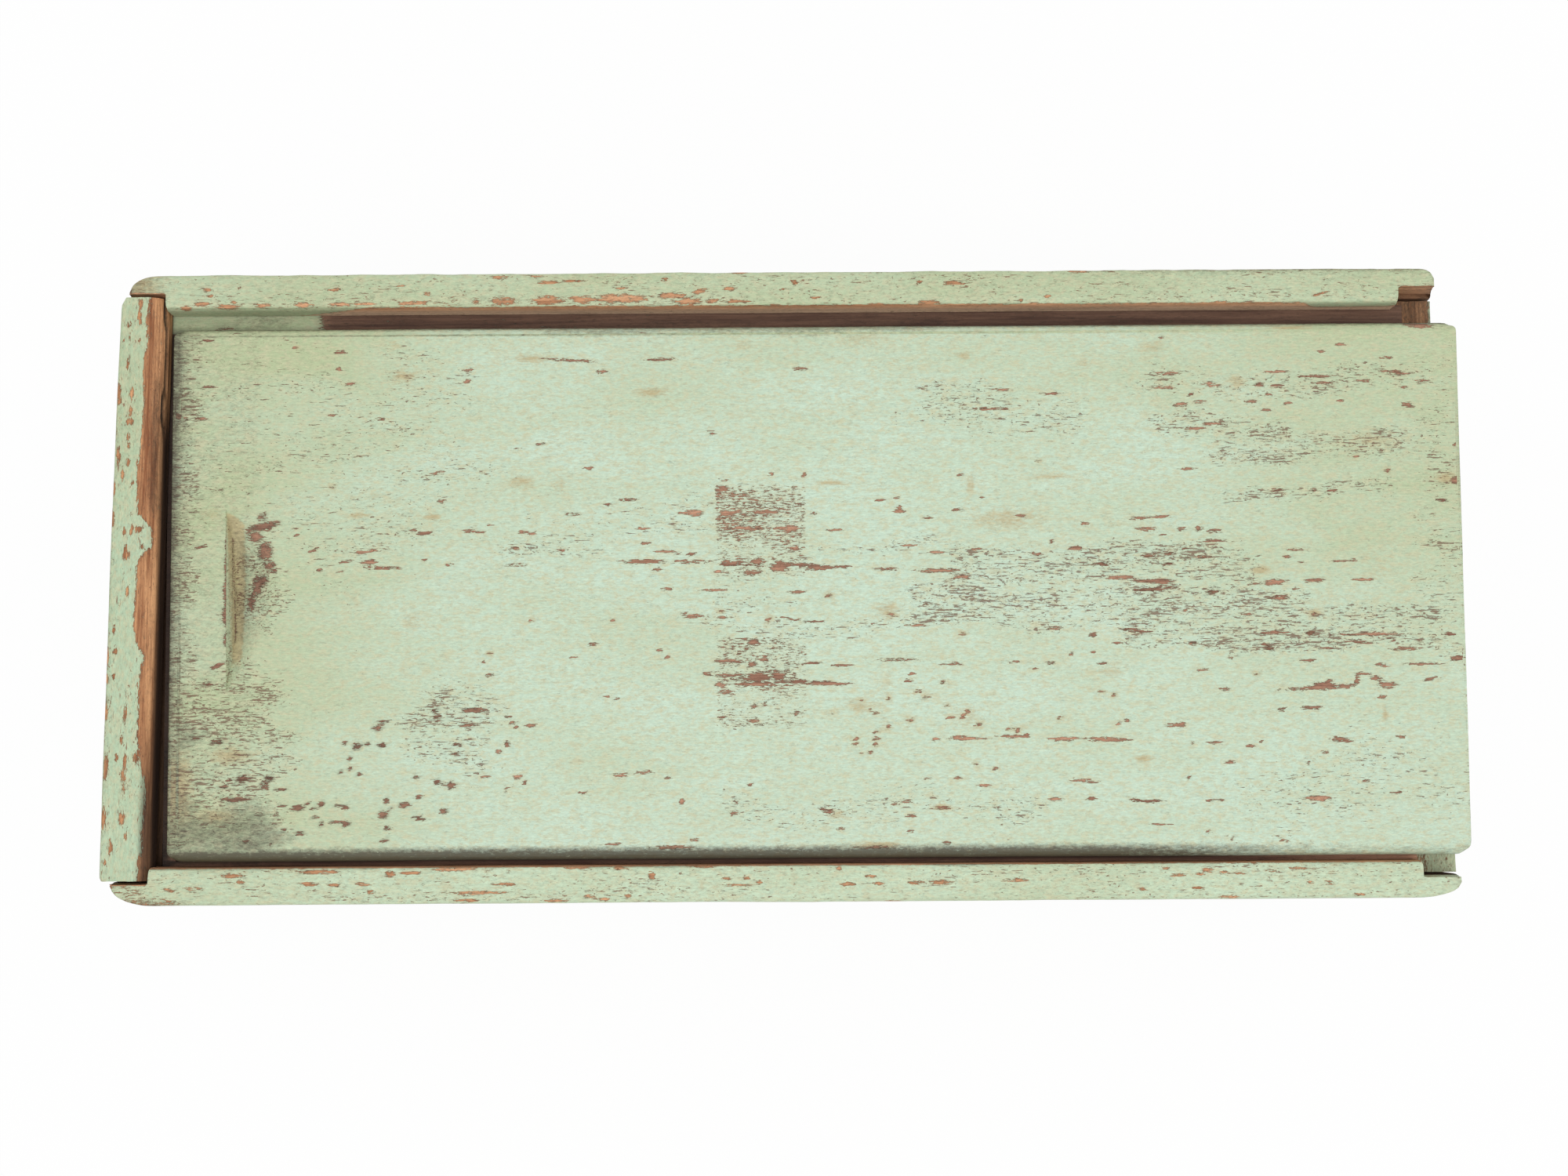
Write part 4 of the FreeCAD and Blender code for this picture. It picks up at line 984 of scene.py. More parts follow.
def low_end_wear(piece):
    """Where the low end board is bare, stained or dirty: its inner face was never painted."""
    high = LOW_END[1]
    x, y, height = points_of(piece).T
    outside = ease(x, high.x - 1.6, high.x - 0.4)
    near_top = ease(height, high.z - 2, high.z - 0.3)
    foot = board_rims(height)[1]
    daubed = ease(-y, 40, 62) * near_top
    face_flaked, face_slits = outer_face_wear(high.x - x, y, height, LOW_FACE_FLAKED)
    bare = np.maximum.reduce((
        (1 - outside) * (1 - 0.62 * daubed), -0.04 + 0.38 * near_top + 0.3 * foot, face_flaked))
    paint_on(piece, bare=bare, slits=0.4 + 0.5 * face_slits, stain=0.3 * foot, yellowed=0.6 + 0.4 * daubed,
             dark=0.35 * (1 - outside) * (1 - 0.8 * daubed),
             grime=np.clip(0.3 + 0.4 * near_top * (1 - daubed) + 0.3 * foot, 0, 1))


def bottom_board():
    """The bottom: one wide board, shrunk a little, with a check along its grain and rubbed lower edges."""
    low, high = BASE
    middle = high.z / 2
    piece = block("worn_bottom_board", low, high)
    for axis, place in ((X, low.x), (X, high.x), (Y, low.y), (Y, high.y)):
        round_edges(piece, level_edges(axis, place, low.z), 0.8, 3)
    add_loops(piece, X, 2.6)
    add_loops(piece, Y, 1.6)
    add_loops(piece, Z, 2.0)
    points = points_of(piece)
    x, y, height = points.T.copy()
    check = np.exp(-((y + 21.0 - 2.5 * np.sin(x / 38.0)) / 0.9) ** 2) * ease(x, 40, 150)
    on_face = np.abs(height - middle) > middle - 1
    points[:, Z] += 1.4 * check * on_face * np.where(height > middle, -1, 1)
    move_points(piece, points)
    weather(piece, depth=0.3, size=12.0, stretch=(8, 1, 1))
    weather(piece, depth=0.15, size=2.0, stretch=(12, 1, 1))
    nail_nodes = ["nails_bottom_" + place for place in ("rear", "front", "tall_end", "low_end")]
    sink_nails(piece, nail_nodes)
    points = points_of(piece)
    x, y, _ = np.abs(points).T
    rim = np.maximum(ease(x, high.x - 8, high.x), ease(y, high.y - 8, high.y))
    paint_on(piece, dark=np.clip(0.8 * nail_rust(points, nail_nodes) + 0.35 * rim, 0, 1))
    finish_piece(piece, "bottom_board", "box")
    return piece


# ---- lid ---------------------------------------------------------------------------------------
LID_ROUND = 2.8                  # of its top edges
LID_CORNER = 3.0                 # of its corners in plan
NOTCH_SETBACK = 13.4             # stop cut, in from the tall end's edge of the lid
NOTCH_OFFSET = 3.9               # towards the rear of the lid's middle line
NOTCH_REACH = 12.9               # of the slope, up to the lid's top
NOTCH_DEPTH = 3.6
NOTCH_LENGTH = 45.0
NOTCH_LEAN = 2.2                 # of the stop cut, over its depth
NOTCH_SKEW = math.radians(19.0)  # of the gouge to the stop cut
NOTCH_TURN = math.radians(1.6)   # of the whole notch
NOTCH_SPAN = (-138.4, -123.5)    # from where to where its wear reaches along the lid
NOTCH_WALL = (-137.2, -132.6)    # the same for the stop cut's face
NOTCH_CREASE = -132.8            # the foot of that face


def lid_notch():
    """What the gouge and the stop cut take out of the lid's top.

    The gouge's bottom is part of a large cylinder, tilted to the slope and sliced every millimetre.
    The wood on the tall end's side of the stop cut is kept, so that is carved from the gouge.
    """
    slope = math.atan2(NOTCH_DEPTH, NOTCH_REACH)
    drop = NOTCH_DEPTH * math.cos(slope)
    half = NOTCH_LENGTH / 2 * math.cos(NOTCH_SKEW)
    radius = (half ** 2 + drop ** 2) / (2 * drop)
    bpy.ops.object.select_all(action="DESELECT")
    bpy.ops.mesh.primitive_cylinder_add(vertices=720, radius=radius * MM, depth=4 * NOTCH_REACH * MM)
    gouge = bpy.context.object
    gouge.rotation_euler = (0, math.pi / 2 - slope, 0)
    lift = Vector((-math.sin(slope), 0, math.cos(slope)))
    gouge.location = (Vector((NOTCH_REACH, 0, 0)) + lift * radius) * MM
    bpy.ops.object.transform_apply(location=True, rotation=True, scale=True)
    slice_at(gouge, X, range(-8, 24))
    activate(gouge)
    gouge.rotation_euler = (0, 0, NOTCH_SKEW)
    bpy.ops.object.transform_apply(location=True, rotation=True, scale=True)
    keep = block("stop_cut", (-80, -80, -60), (0, 80, 60))
    slice_at(keep, Z, (-NOTCH_DEPTH * 2 / 3, -NOTCH_DEPTH / 3))
    points = points_of(keep)
    points[:, X] -= np.where(points[:, X] > -1, NOTCH_LEAN / NOTCH_DEPTH * points[:, Z], 0)
    move_points(keep, points)
    carve(gouge, keep)
    gouge.location = Vector((LID_ENDS[0] + NOTCH_SETBACK, LID_MIDDLE + NOTCH_OFFSET, LID_TOP)) * MM
    gouge.rotation_euler = (0, 0, NOTCH_TURN)
    activate(gouge)
    bpy.ops.object.transform_apply(location=True, rotation=True, scale=True)
    return gouge


def sliding_lid():
    """The lid: thick middle with rounded edges, thin tongues on three sides, and the notch."""
    front, rear = LID_EDGES
    left, right = LID_ENDS
    bottom = LID[0].z
    piece = block("worn_sliding_lid", (left, front, bottom), (right, rear, LID_TOP))
    for axis, place in ((Y, front), (Y, rear), (X, left)):
        round_edges(piece, level_edges(axis, place, LID_TOP), LID_ROUND, 6)
    round_edges(piece, level_edges(X, right, LID_TOP), 1.0, 3)
    slice_at(piece, Z, (TONGUE_TOP,))
    slice_at(piece, X, (TONGUE_END,))

    def end_face(middle):
        return (middle[:, X] < left + SAME) & (middle[:, Z] < TONGUE_TOP)

    extrude_faces(piece, end_face, (-END_TONGUE, 0, 0))
    for edge, way in ((front, -1), (rear, 1)):
        def side_face(middle):
            low = (middle[:, Z] < TONGUE_TOP) & (middle[:, X] < TONGUE_END)
            return low & (np.abs(middle[:, Y] - edge) < SAME)

        extrude_faces(piece, side_face, (0, SIDE_TONGUE * way, 0))
    add_loops(piece, X, 1.15)
    add_loops(piece, Y, 0.58, front, rear)
    add_loops(piece, Y, 1.9)
    add_loops(piece, Z, 1.2)
    thin_underside(piece, bottom, 4)
    points = round_corners(points_of(piece), LID_CORNER)
    middle_x = (left + right) / 2
    lean = LID_SKEW * (points[:, Y] - LID_MIDDLE)
    points[:, X] += lean * (points[:, X] - middle_x) / (right - middle_x)
    move_points(piece, points)
    weather(piece, depth=0.3, size=30.0, stretch=(2, 1, 1))
    weather(piece, depth=0.10, size=1.6, stretch=(16, 1, 1))
    carve(piece, lid_notch())
    lid_wear(piece)
    finish_piece(piece, "sliding_lid", "lid")
    return piece


def round_corners(points, radius):
    """Rounds the lid's thick corners in plan, and most the one that has been held to draw it out."""
    thick = (points[:, Z] > TONGUE_TOP + 0.05) | (points[:, X] > TONGUE_END + 0.5)
    for x, inward_x in ((LID_ENDS[0], 1), (LID_ENDS[1], -1)):
        for y, inward_y in ((LID_EDGES[0], 1), (LID_EDGES[1], -1)):
            held = x > 0 and y < 0
            reach = np.array((radius, 1.3 * radius if held else radius))
            inward = np.array((inward_x, inward_y))
            middle = np.array((x, y)) + inward * reach
            out = (middle - points[:, :2]) * inward / reach
            corner = thick & (out[:, 0] > 0) & (out[:, 1] > 0)
            out = out[corner]
            out *= (out.max(axis=1) / np.hypot(*out.T))[:, None]
            points[corner, :2] = middle - out * reach * inward
    return points


def lid_flakes(x, y, in_notch):
    """Single flakes on the lid's top, with the notch's and the rust spots."""
    spots = [(spot_x, spot_y, size, size) for spot_x, spot_y, size in RUST_SPOTS]
    flakes = np.maximum(marks(x, y, LID_FLAKES), marks(x, y, NOTCH_FLAKES) * in_notch)
    return np.maximum(flakes, marks(x, y, spots))


def lid_stains(x, y, sunk):
    """Rings of rust, tan clouds, and the notch's stop-cut face made tan and lighter: its own stain with
    painted light.
    """
    rings = [(spot_x, spot_y, 4 * size, 3 * size) for spot_x, spot_y, size in RUST_SPOTS]
    stain = 0.6 * marks(x, y, rings)
    for *cloud, share in STAINS:
        stain = np.maximum(stain, share * marks(x, y, (cloud,)))
    # The stop-cut face: tan stain raised further as painted light
    wall_tan_and_painted_light = ease(sunk, 0.1, 0.6) * between(x, *NOTCH_WALL, 0.5) * between(y, -20, 25, 3)
    return np.maximum(stain, 0.9 * wall_tan_and_painted_light)


def lid_dirt_and_edge_shade(x, y, sunk, on_top, in_notch):
    """Dirt with painted shade on the rounded edges and deeper in the notch, and dirt over some areas."""
    front, rear = LID_EDGES
    # The rounded edges darken where they drop into the gaps beside the boards: dirt with painted shade; the
    # front one less towards the low end
    front_round = (1 - ease(y, front + 1.6, front + 4.6)) * (1 - 0.7 * ease(x, 70, 140))
    left_round = 0.28 + 0.70 * np.exp(-np.clip(x - LID_ENDS[0] - 0.4, 0, 30) / 2.0)
    rear_round = ease(y, rear - 1.8, rear - 0.1)
    dirt = np.maximum.reduce((1.2 * front_round, left_round * (x < -130), rear_round)) * on_top
    dirt = np.maximum(dirt, 0.14 + areas(x, y, GRIME_AREAS))
    # Deeper in the notch: dirt with painted shade
    return np.maximum(dirt, 0.4 * in_notch * ease(sunk, 0.3, 1.0))


def tongue_painted_shade(x, y, painted_tongue):
    """Painted shade on the tongues, seen down the gaps round the lid: darkest close beside the lid's thick
    middle.
    """
    front, rear = LID_EDGES
    before = (1 - ease(np.abs(y - front), 0.2, 0.8)) * (1 - 0.8 * ease(x, 90, 150))
    at_end = (1 - ease(x, -152, -149)) * (1 - painted_tongue)
    behind = (1 - 0.25 * ease(y - rear, 1.2, 2.2)) * (1 - 0.85 * painted_tongue)
    behind = np.maximum(behind, np.exp(-np.abs(y - rear - 0.2) / 0.8)) * ease(y, rear - 0.5, rear)
    return np.maximum.reduce((before, at_end, behind))


def rubbed_in_dirt_and_crease_shade(x, y, sunk, flakes, in_notch):
    """Dirt rubbed into the flakes of the tall end's front quarter and of the notch, and painted shade in the
    notch's crease.
    """
    flaked = ease(flakes, 0.3, 0.6)
    crease = ease(sunk, 0.8, 2.0) * np.exp(-((x - NOTCH_CREASE) / 1.3) ** 2) * between(y, -14, 22, 4)
    return np.maximum(0.4 * flaked * (1 - ease(x, -85, -65)) * (1 - ease(y, -30, -15)),
                      0.3 * in_notch * between(y, -16, 26, 1) * np.maximum(flaked, crease))


def lid_wear(piece):
    """Where the lid's paint is flaked, cracked, stained, dirty or yellowed, and where shade and light are
    painted on.

    The tongues are bare, but for the tall end of the rear one.
    """
    x, y, height = points_of(piece).T
    rear = LID_EDGES[1]
    sunk = LID_TOP - height
    on_top = ease(height, TONGUE_TOP, TONGUE_TOP + 1.0)
    low_down = ease(height, TONGUE_TOP - 1.0, TONGUE_TOP - 0.3) * (1 - on_top)
    in_notch = between(x, *NOTCH_SPAN, 0.4)
    rubbed_tongue = between(x, -144.0, -138.0, 1.5) * (1 - ease(y - rear, 1.0, 2.6))
    painted_tongue = between(x, -157, -116, 3) * ease(y, rear - 0.5, rear) * (1 - 0.62 * rubbed_tongue)
    flakes = lid_flakes(x, y, in_notch)
    bare = np.maximum(flakes, np.maximum(areas(x, y, FLAKED_AREAS), -0.04))
    bare = np.maximum(bare * on_top, (1 - on_top) * (1 - painted_tongue))
    yellow = 0.12 + 0.75 * ease(-x, 60, 150) + 0.55 * ease(x, 70, 150) * ease(y, -50, 20)
    yellow += 0.25 * ease(y, 35, 64)
    # dark: painted shade on the tongues, with rubbed-in dirt and painted shade in the notch's crease
    dark = low_down * tongue_painted_shade(x, y, painted_tongue) + rubbed_in_dirt_and_crease_shade(x, y, sunk, flakes, in_notch)
    paint_on(piece, bare=np.clip(bare, -0.2, 1), slits=np.clip(0.22 + areas(x, y, SLIT_AREAS), 0, 1),
             stain=np.clip(lid_stains(x, y, sunk), 0, 1), yellowed=np.clip(yellow, 0, 1),
             grime=np.clip(lid_dirt_and_edge_shade(x, y, sunk, on_top, in_notch), 0, 1.2), dark=np.clip(dark, 0, 1))


# ---- materials ---------------------------------------------------------------------------------
COLOUR_MIX = {"out": 2, "data_type": "RGBA"}     # a mix of colours: its output and its setting,
MIX_A, MIX_B = 6, 7                              # and its two colours


def linear(code):
    """An sRGB hex colour as a linear one."""
    shares = [int(code[start:start + 2], 16) / 255 for start in (1, 3, 5)]
    return tuple(s / 12.92 if s <= 0.04045 else ((s + 0.055) / 1.055) ** 2.4 for s in shares) + (1.0,)


def add(tree, kind, inputs=None, out=0, **settings):
    """Adds a node: settings go on it, and inputs are numbers, colours or other nodes' outputs."""
    made = tree.nodes.new("ShaderNode" + kind)
    for name, value in settings.items():
        setattr(made, name, value)
    for name, value in (inputs or {}).items():
        if isinstance(value, bpy.types.NodeSocket):
            tree.links.new(value, made.inputs[name])
        else:
            made.inputs[name].default_value = value
    return made.outputs[out] if made.outputs else made


def new_material(name):
    """An empty material and its node tree."""
    material = bpy.data.materials.new(name)
    material.use_nodes = True
    material.node_tree.nodes.clear()
    return material, material.node_tree


def drawn_out(tree, run, width, detail, roughness, axis=X, shift=0.0):
    """Noise drawn out along the grain: its features are about run by width, in millimetres."""
    scale = [1 / (width * MM)] * 3
    scale[axis] = 1 / (run * MM)
    where = add(tree, "TexCoord", out="Object")
    where = add(tree, "Mapping", {"Vector": where, "Scale": scale, "Location": (shift, shift, shift)})
    return add(tree, "TexNoise", {"Vector": where, "Scale": 1.0, "Detail": detail, "Roughness": roughness,
                                  "Distortion": 0.4})


def wood_colour(tree, axis, dark, light):
    """Old bare softwood as a colour: fibres, drawn 0.5 mm wide so that they show, in bands of 2.4 mm."""
    fibre = drawn_out(tree, 14, 0.5, detail=4, roughness=0.65, axis=axis, shift=3.1)
    band = drawn_out(tree, 50, 2.4, detail=2, roughness=0.5, axis=axis, shift=7.7)
    blend = add(tree, "Math", {0: fibre, 1: band}, operation="ADD")
    share = add(tree, "MapRange", {"Value": blend, "From Min": 0.75, "From Max": 1.25})
    return add(tree, "Mix", {0: share, MIX_A: linear(dark), MIX_B: linear(light)}, **COLOUR_MIX)


def paint_loss(tree, bare, axis):
    """Where the paint is gone, how cream the rim outside that is, and how much painted shadow darkens the
    rim inside it.

    The worn places' borders are broken up along the grain.
    """
    flake = drawn_out(tree, 1.7, 0.38, detail=8, roughness=0.72, axis=axis)
    patch = drawn_out(tree, 30, 7, detail=3, roughness=0.5, axis=axis, shift=11.0)
    flake = add(tree, "Math", {0: flake, 1: 0.5}, operation="SUBTRACT")
    reach = add(tree, "Math", {0: bare, 1: 0.5}, operation="MINIMUM")
    reach = add(tree, "Math", {0: reach, 1: 3.0, 2: 1.3}, operation="MULTIPLY_ADD")
    wear = add(tree, "Math", {0: flake, 1: reach, 2: bare}, operation="MULTIPLY_ADD")
    patch = add(tree, "Math", {0: patch, 1: 0.5}, operation="SUBTRACT")
    wear = add(tree, "Math", {0: patch, 1: 0.7, 2: wear}, operation="MULTIPLY_ADD")
    gone = add(tree, "MapRange", {"Value": wear, "From Min": 0.48, "From Max": 0.53})
    halo = add(tree, "MapRange", {"Value": wear, "From Min": 0.22, "From Max": 0.46, "To Max": 0.6})
    # Painted shadow of the paint's edge: the bare wood just inside a worn place's border is darkened
    edge = add(tree, "MapRange", {"Value": wear, "From Min": 0.95, "From Max": 0.52, "To Max": 0.5})
    return gone, halo, edge


def opened_film(tree, slits, axis):
    """Slits along the grain, and specks, where the paint film has opened."""
    band = drawn_out(tree, 22, 3.5, detail=4, roughness=0.6, axis=axis, shift=37.0)
    crazed = add(tree, "Math", {0: slits, 1: 0.23}, operation="MULTIPLY")
    crazed = add(tree, "Math", {0: band, 1: 0.3, 2: crazed}, operation="MULTIPLY_ADD")
    slit = drawn_out(tree, 2.8, 0.42, detail=5, roughness=0.6, axis=axis, shift=23.0)
    slit = add(tree, "Math", {0: slit, 1: crazed}, operation="ADD")
    slit = add(tree, "MapRange", {"Value": slit, "From Min": 0.955, "From Max": 0.975})
    speck = drawn_out(tree, 1.3, 0.6, detail=5, roughness=0.65, axis=axis, shift=29.0)
    speck = add(tree, "Math", {0: crazed, 1: 0.7, 2: speck}, operation="MULTIPLY_ADD")
    speck = add(tree, "MapRange", {"Value": speck, "From Min": 0.86, "From Max": 0.88})
    return add(tree, "Math", {0: slit, 1: speck}, operation="MAXIMUM")


def paint_film(tree, age, stain, axis, cool, yellowed, halo):
    """The paint's colour: clouds of yellowing, cream mottling and rims, tan stains and fine streaks."""
    cloud = drawn_out(tree, 45, 18, detail=5, roughness=0.6, axis=axis, shift=31.0)
    cloud = add(tree, "Math", {0: cloud, 1: 1.4, 2: -0.7}, operation="MULTIPLY_ADD")
    age = add(tree, "Math", {0: age, 1: cloud}, operation="ADD")
    age = add(tree, "MapRange", {"Value": age})
    paint = add(tree, "Mix", {0: age, MIX_A: linear(cool), MIX_B: linear(yellowed)}, **COLOUR_MIX)
    mottle = drawn_out(tree, 2.6, 1.3, detail=8, roughness=0.78, axis=axis, shift=41.0)
    cream = add(tree, "MapRange", {"Value": mottle, "From Min": 0.45, "From Max": 0.62, "To Max": 0.8})
    cream = add(tree, "Math", {0: cream, 1: halo}, operation="MAXIMUM")
    paint = add(tree, "Mix", {0: cream, MIX_A: paint, MIX_B: linear("#c8c5a0")}, **COLOUR_MIX)
    # Tan stains; on the notch's stop-cut face the stain also stands for painted light
    tan = drawn_out(tree, 2.2, 0.8, detail=8, roughness=0.8, axis=axis, shift=47.0)
    tan = add(tree, "Math", {0: stain, 1: 0.6, 2: tan}, operation="MULTIPLY_ADD")
    tan = add(tree, "MapRange", {"Value": tan, "From Min": 0.68, "From Max": 0.95, "To Max": 0.8})
    paint = add(tree, "Mix", {0: tan, MIX_A: paint, MIX_B: linear("#baa87c")}, **COLOUR_MIX)
    streak = drawn_out(tree, 1.4, 0.4, detail=8, roughness=0.75, axis=axis, shift=59.0)
    streak = add(tree, "MapRange", {"Value": streak, "From Min": 0.25, "From Max": 0.7,
                                    "To Min": 0.72, "To Max": 1.12})
    return add(tree, "VectorMath", {0: paint, "Scale": streak}, operation="SCALE")


def dirt_and_painted_shade(tree, colour, grime, dark, axis):
    """The colour under specks of dirt, and nearly black where the dark layer is high: painted shade in gaps
    and grooves, with some rubbed-in dirt.
    """
    dirt = drawn_out(tree, 1.6, 0.7, detail=8, roughness=0.8, axis=axis, shift=53.0)
    dirt = add(tree, "Math", {0: dirt, 1: 1.6, 2: -0.3}, operation="MULTIPLY_ADD")
    dirt = add(tree, "Math", {0: grime, 1: 0.75, 2: dirt}, operation="MULTIPLY_ADD")
    dirt = add(tree, "MapRange", {"Value": dirt, "From Min": 0.68, "From Max": 1.30, "To Max": 0.92})
    colour = add(tree, "Mix", {0: dirt, MIX_A: colour, MIX_B: linear("#443c2c")}, **COLOUR_MIX)
    # Painted shade: where the dark layer is high, in grooves and gaps, the colour goes towards near-black
    # #1c120d; some rubbed-in dirt rides on the same layer
    black = add(tree, "Math", {0: dark, 1: 0.93}, operation="MULTIPLY")
    return add(tree, "Mix", {0: black, MIX_A: colour, MIX_B: linear("#1c120d")}, **COLOUR_MIX)


def paint_relief(tree, gone, opened, axis):
    """The film's thickness, brush ridges and fibres, in millimetres; the fibres are wide enough to show."""
    ridge = drawn_out(tree, 40, 1.1, detail=3, roughness=0.5, axis=axis, shift=61.0)
    fibre = drawn_out(tree, 12, 0.4, detail=3, roughness=0.6, axis=axis, shift=67.0)
    height = add(tree, "Math", {0: gone, 1: -0.07}, operation="MULTIPLY")
    height = add(tree, "Math", {0: opened, 1: -0.03, 2: height}, operation="MULTIPLY_ADD")
    height = add(tree, "Math", {0: ridge, 1: 0.14, 2: height}, operation="MULTIPLY_ADD")
    height = add(tree, "Math", {0: fibre, 1: 0.06, 2: height}, operation="MULTIPLY_ADD")
    return add(tree, "Bump", {"Height": height, "Distance": MM, "Strength": 1.0})


def aged_oil_paint(name, axis, cool, yellowed, wood_dark, wood_light, slit):
    """Oil paint brushed on softwood long ago: chalked, yellowed in places, and flaked along the grain.

    The eye sees faint brush ridges, thin cream rims round brown flakes with painted shadow just inside them,
    dark slits where the paint has cracked with the grain, tan stains and dirt, painted shade nearly black in
    gaps and grooves, painted light on one inner face, and a dull sheen that bare wood lacks.
    """
    material, tree = new_material(name)
    layers = {layer: add(tree, "Attribute", out="Fac", attribute_name=layer)
              for layer in ("bare", "slits", "stain", "grime", "yellowed", "dark", "pale")}
    gone, halo, edge = paint_loss(tree, layers["bare"], axis)
    opened = opened_film(tree, layers["slits"], axis)
    paint = paint_film(tree, layers["yellowed"], layers["stain"], axis, cool, yellowed, halo)

    # Bare wood, lightened in places as painted light, and darker just inside the paint's edge as painted
    # shadow
    wood = wood_colour(tree, axis, wood_dark, wood_light)
    wood = add(tree, "Mix", {0: layers["pale"], MIX_A: wood, MIX_B: linear("#f7dcbc")}, **COLOUR_MIX)
    wood = add(tree, "Mix", {0: edge, MIX_A: wood, MIX_B: linear("#5d3f2e")}, **COLOUR_MIX)
    colour = add(tree, "Mix", {0: gone, MIX_A: paint, MIX_B: wood}, **COLOUR_MIX)
    share = add(tree, "Math", {0: opened, 1: 0.85}, operation="MULTIPLY")
    colour = add(tree, "Mix", {0: share, MIX_A: colour, MIX_B: linear(slit)}, **COLOUR_MIX)
    colour = dirt_and_painted_shade(tree, colour, layers["grime"], layers["dark"], axis)

    bump = paint_relief(tree, gone, opened, axis)
    shine = add(tree, "MapRange", {"Value": gone, "To Min": 0.55, "To Max": 0.8})
    shader = add(tree, "BsdfPrincipled", {"Base Color": colour, "Roughness": shine, "Normal": bump,
                                          "IOR": 1.48})
    add(tree, "OutputMaterial", {"Surface": shader})
    return material


def bare_wood(name, axis, dark, light):
    """Planed softwood, never painted: darkened with age, and darker still at its rim and round its nails."""
    material, tree = new_material(name)
    darkened = add(tree, "Attribute", out="Fac", attribute_name="dark")
    blotch = drawn_out(tree, 24, 9, detail=4, roughness=0.6, axis=axis, shift=17.0)
    blotch = add(tree, "MapRange", {"Value": blotch, "From Min": 0.5, "From Max": 0.75, "To Max": 0.4})
    blotch = add(tree, "Math", {0: blotch, 1: darkened}, operation="MAXIMUM")
    colour = wood_colour(tree, axis, dark, light)
    colour = add(tree, "Mix", {0: blotch, MIX_A: colour, MIX_B: linear("#3f2b1e")}, **COLOUR_MIX)
    fibre = drawn_out(tree, 12, 0.4, detail=3, roughness=0.6, axis=axis, shift=5.0)
    bump = add(tree, "Bump", {"Height": fibre, "Distance": 0.12 * MM, "Strength": 1.0})
    shine = add(tree, "MapRange", {"Value": blotch, "To Min": 0.8, "To Max": 0.6})
    shader = add(tree, "BsdfPrincipled", {"Base Color": colour, "Roughness": shine, "Normal": bump,
                                          "IOR": 1.5})
    add(tree, "OutputMaterial", {"Surface": shader})
    return material


def rusted_iron(name):
    """Cut-nail iron under a skin of rust: brown and dull, but dark and a little shiny where it is thin."""
    material, tree = new_material(name)
    pits = drawn_out(tree, 0.8, 0.8, detail=4, roughness=0.6)
    share = add(tree, "MapRange", {"Value": pits, "From Min": 0.35, "From Max": 0.7})
    colour = add(tree, "Mix", {0: share, MIX_A: linear("#2b1d16"), MIX_B: linear("#74452a")}, **COLOUR_MIX)
    shine = add(tree, "MapRange", {"Value": pits, "From Min": 0.35, "From Max": 0.7,
                                   "To Min": 0.5, "To Max": 0.9})
    bump = add(tree, "Bump", {"Height": pits, "Distance": 0.15 * MM, "Strength": 1.0})
    shader = add(tree, "BsdfPrincipled", {"Base Color": colour, "Roughness": shine, "Normal": bump,
                                          "Metallic": 0.3})
    add(tree, "OutputMaterial", {"Surface": shader})
    return material


# ---- setting -----------------------------------------------------------------------------------
def seen_directly(tree):
    """1 for the rays that show a background: those of the camera, of reflections and through glass."""
    rays = add(tree, "LightPath").node
    mirrored = add(tree, "Math", {0: rays.outputs["Is Glossy Ray"], 1: rays.outputs["Is Transmission Ray"]},
                   operation="MAXIMUM")
    return add(tree, "Math", {0: rays.outputs["Is Camera Ray"], 1: mirrored}, operation="MAXIMUM")


def floor():
    """A white paper floor, which keeps the object's shadow."""
    bpy.ops.object.select_all(action="DESELECT")
    bpy.ops.mesh.primitive_plane_add(size=8, location=(0, 0, 0))
    sheet = bpy.context.object
    sheet.name = "floor"
    material, tree = new_material("white_paper_floor")
    paper = add(tree, "BsdfDiffuse", {"Color": (0.9, 0.9, 0.9, 1)})
    glow = add(tree, "Emission", {"Color": (1, 1, 1, 1), "Strength": 1.0})
    share = add(tree, "MapRange", {"Value": seen_directly(tree), "To Max": 0.92})
    mixed = add(tree, "MixShader", {0: share, 1: paper, 2: glow})
    add(tree, "OutputMaterial", {"Surface": mixed})
    sheet.data.materials.append(material)


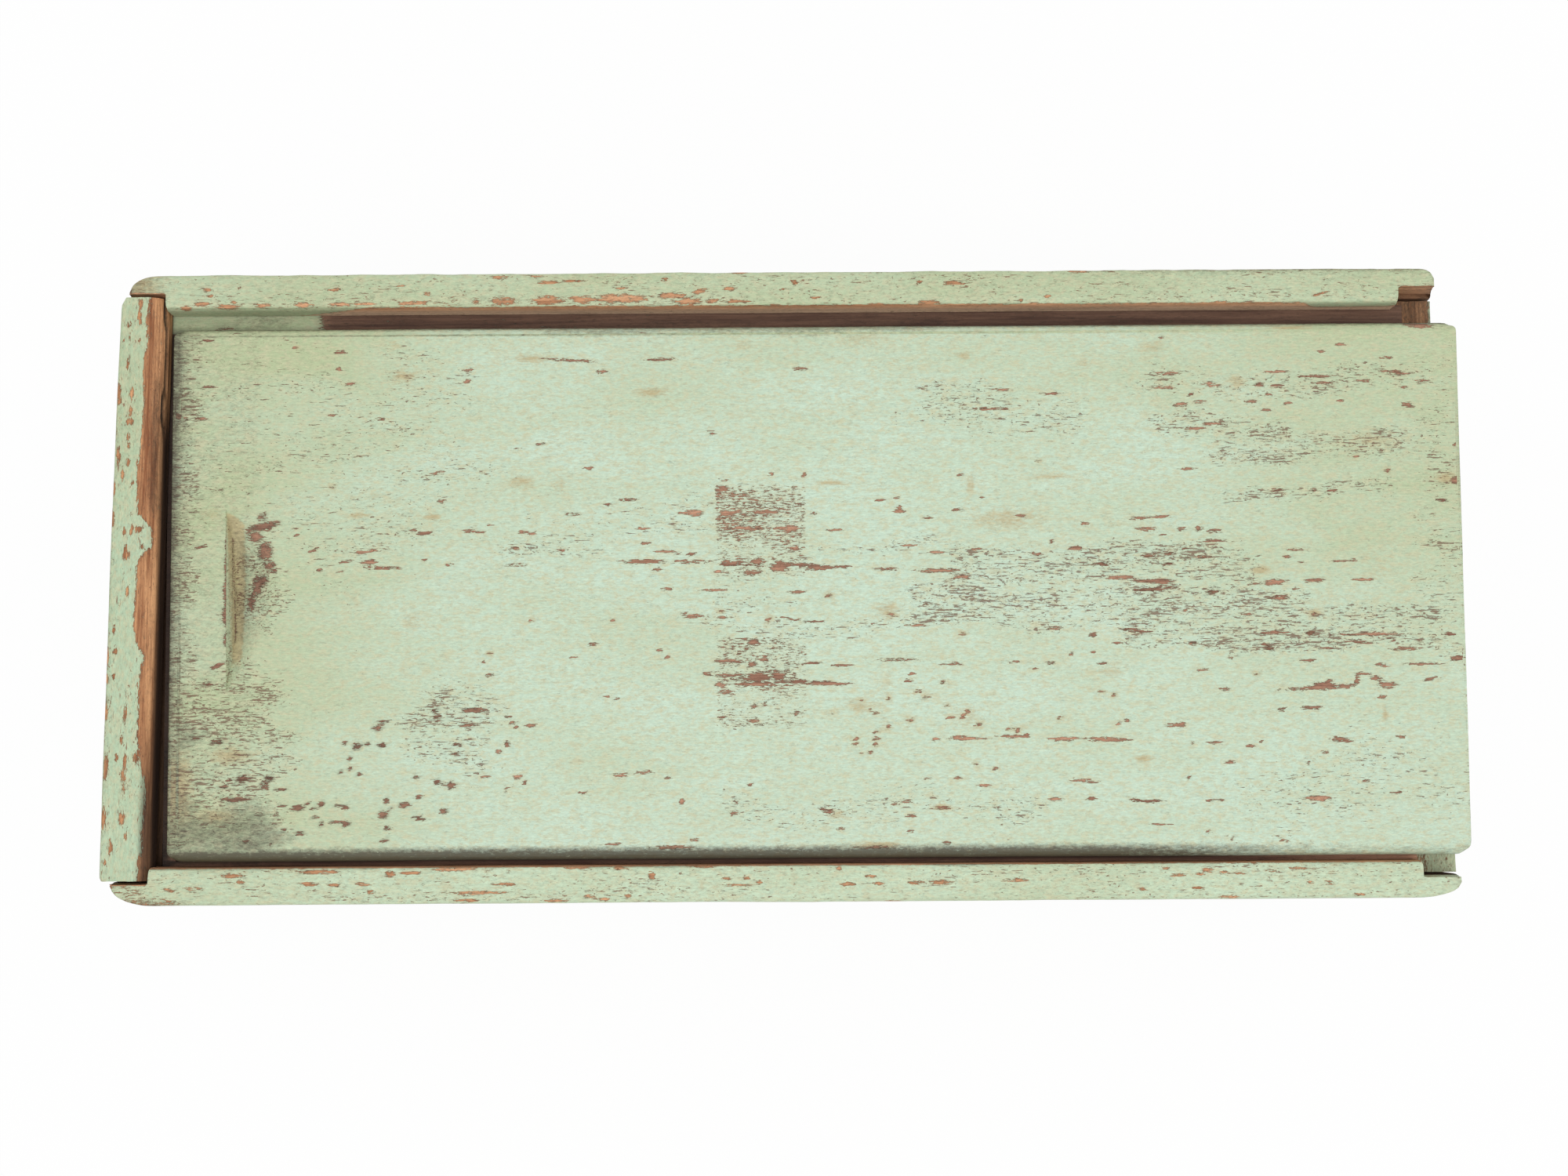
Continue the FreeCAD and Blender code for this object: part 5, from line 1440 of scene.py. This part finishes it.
def lights():
    """An even white surround and one large soft lamp overhead, a little to the front."""
    world = bpy.data.worlds.new("surround")
    bpy.context.scene.world = world
    world.use_nodes = True
    tree = world.node_tree
    tree.nodes.clear()
    strength = add(tree, "MapRange", {"Value": seen_directly(tree), "To Min": 0.75, "To Max": 1.0})
    surround = add(tree, "Background", {"Color": (1, 1, 1, 1), "Strength": strength})
    add(tree, "OutputWorld", {"Surface": surround})

    lamp = bpy.data.lights.new("soft_lamp", "AREA")
    lamp.shape = "SQUARE"
    lamp.size = 1.8
    lamp.energy = 38
    holder = bpy.data.objects.new("soft_lamp", lamp)
    bpy.context.scene.collection.objects.link(holder)
    holder.location = (0.2, -0.6, 3.3)
    aim = Vector((0, 0, 0.1)) - holder.location
    holder.rotation_euler = aim.to_track_quat("-Z", "Y").to_euler()


def camera():
    """Looks almost straight down on the lid, from a little in front of it."""
    tilt = math.radians(6.2)
    turn = math.radians(-0.35)
    distance = 440.6
    target = Vector((0, -1.9, TOP))
    lens = bpy.data.cameras.new("camera")
    lens.lens = 41.4
    lens.sensor_width = 36.0
    lens.clip_start = 0.01
    holder = bpy.data.objects.new("camera", lens)
    bpy.context.scene.collection.objects.link(holder)
    back = Vector((math.sin(tilt) * math.sin(turn), -math.sin(tilt) * math.cos(turn), math.cos(tilt)))
    holder.location = (target + back * distance) * MM
    holder.rotation_euler = (tilt, 0, turn)
    bpy.context.scene.camera = holder


def main():
    """Makes every piece, and then the setting."""
    board_paint = aged_oil_paint("oil_paint_on_side_boards", X, cool="#c6dabd", yellowed="#b4c29a",
                                 wood_dark="#ac7650", wood_light="#deaa80", slit="#7a5238")
    end_paint = aged_oil_paint("oil_paint_on_end_boards", Y, cool="#b8d2b4", yellowed="#b0c09a",
                               wood_dark="#86512f", wood_light="#e4ab79", slit="#865c42")
    lid_paint = aged_oil_paint("oil_paint_on_lid", X, cool="#c6dcc6", yellowed="#b5c298",
                               wood_dark="#875f4c", wood_light="#c8987b", slit="#71503b")
    bottom_wood = bare_wood("planed_softwood_bottom", X, "#6b4a33", "#9b7350")
    finished = (
        (side_board("rear", 1, lip_corners=((10, 5.0), (5, 3.0)), flakes=REAR_FLAKES), board_paint),
        (side_board("front", -1, lip_corners=((13, 5.2), (14, 4.0)), flakes=FRONT_FLAKES), board_paint),
        (tall_end_board(), end_paint),
        (low_end_board(), end_paint),
        (bottom_board(), bottom_wood),
        (sliding_lid(), lid_paint),
    )
    for piece, material in finished:
        piece.data.materials.append(material)
    nails(rusted_iron("rusted_cut_nail_iron"))
    floor()
    lights()
    camera()
    bpy.context.scene.view_settings.view_transform = "Standard"


main()
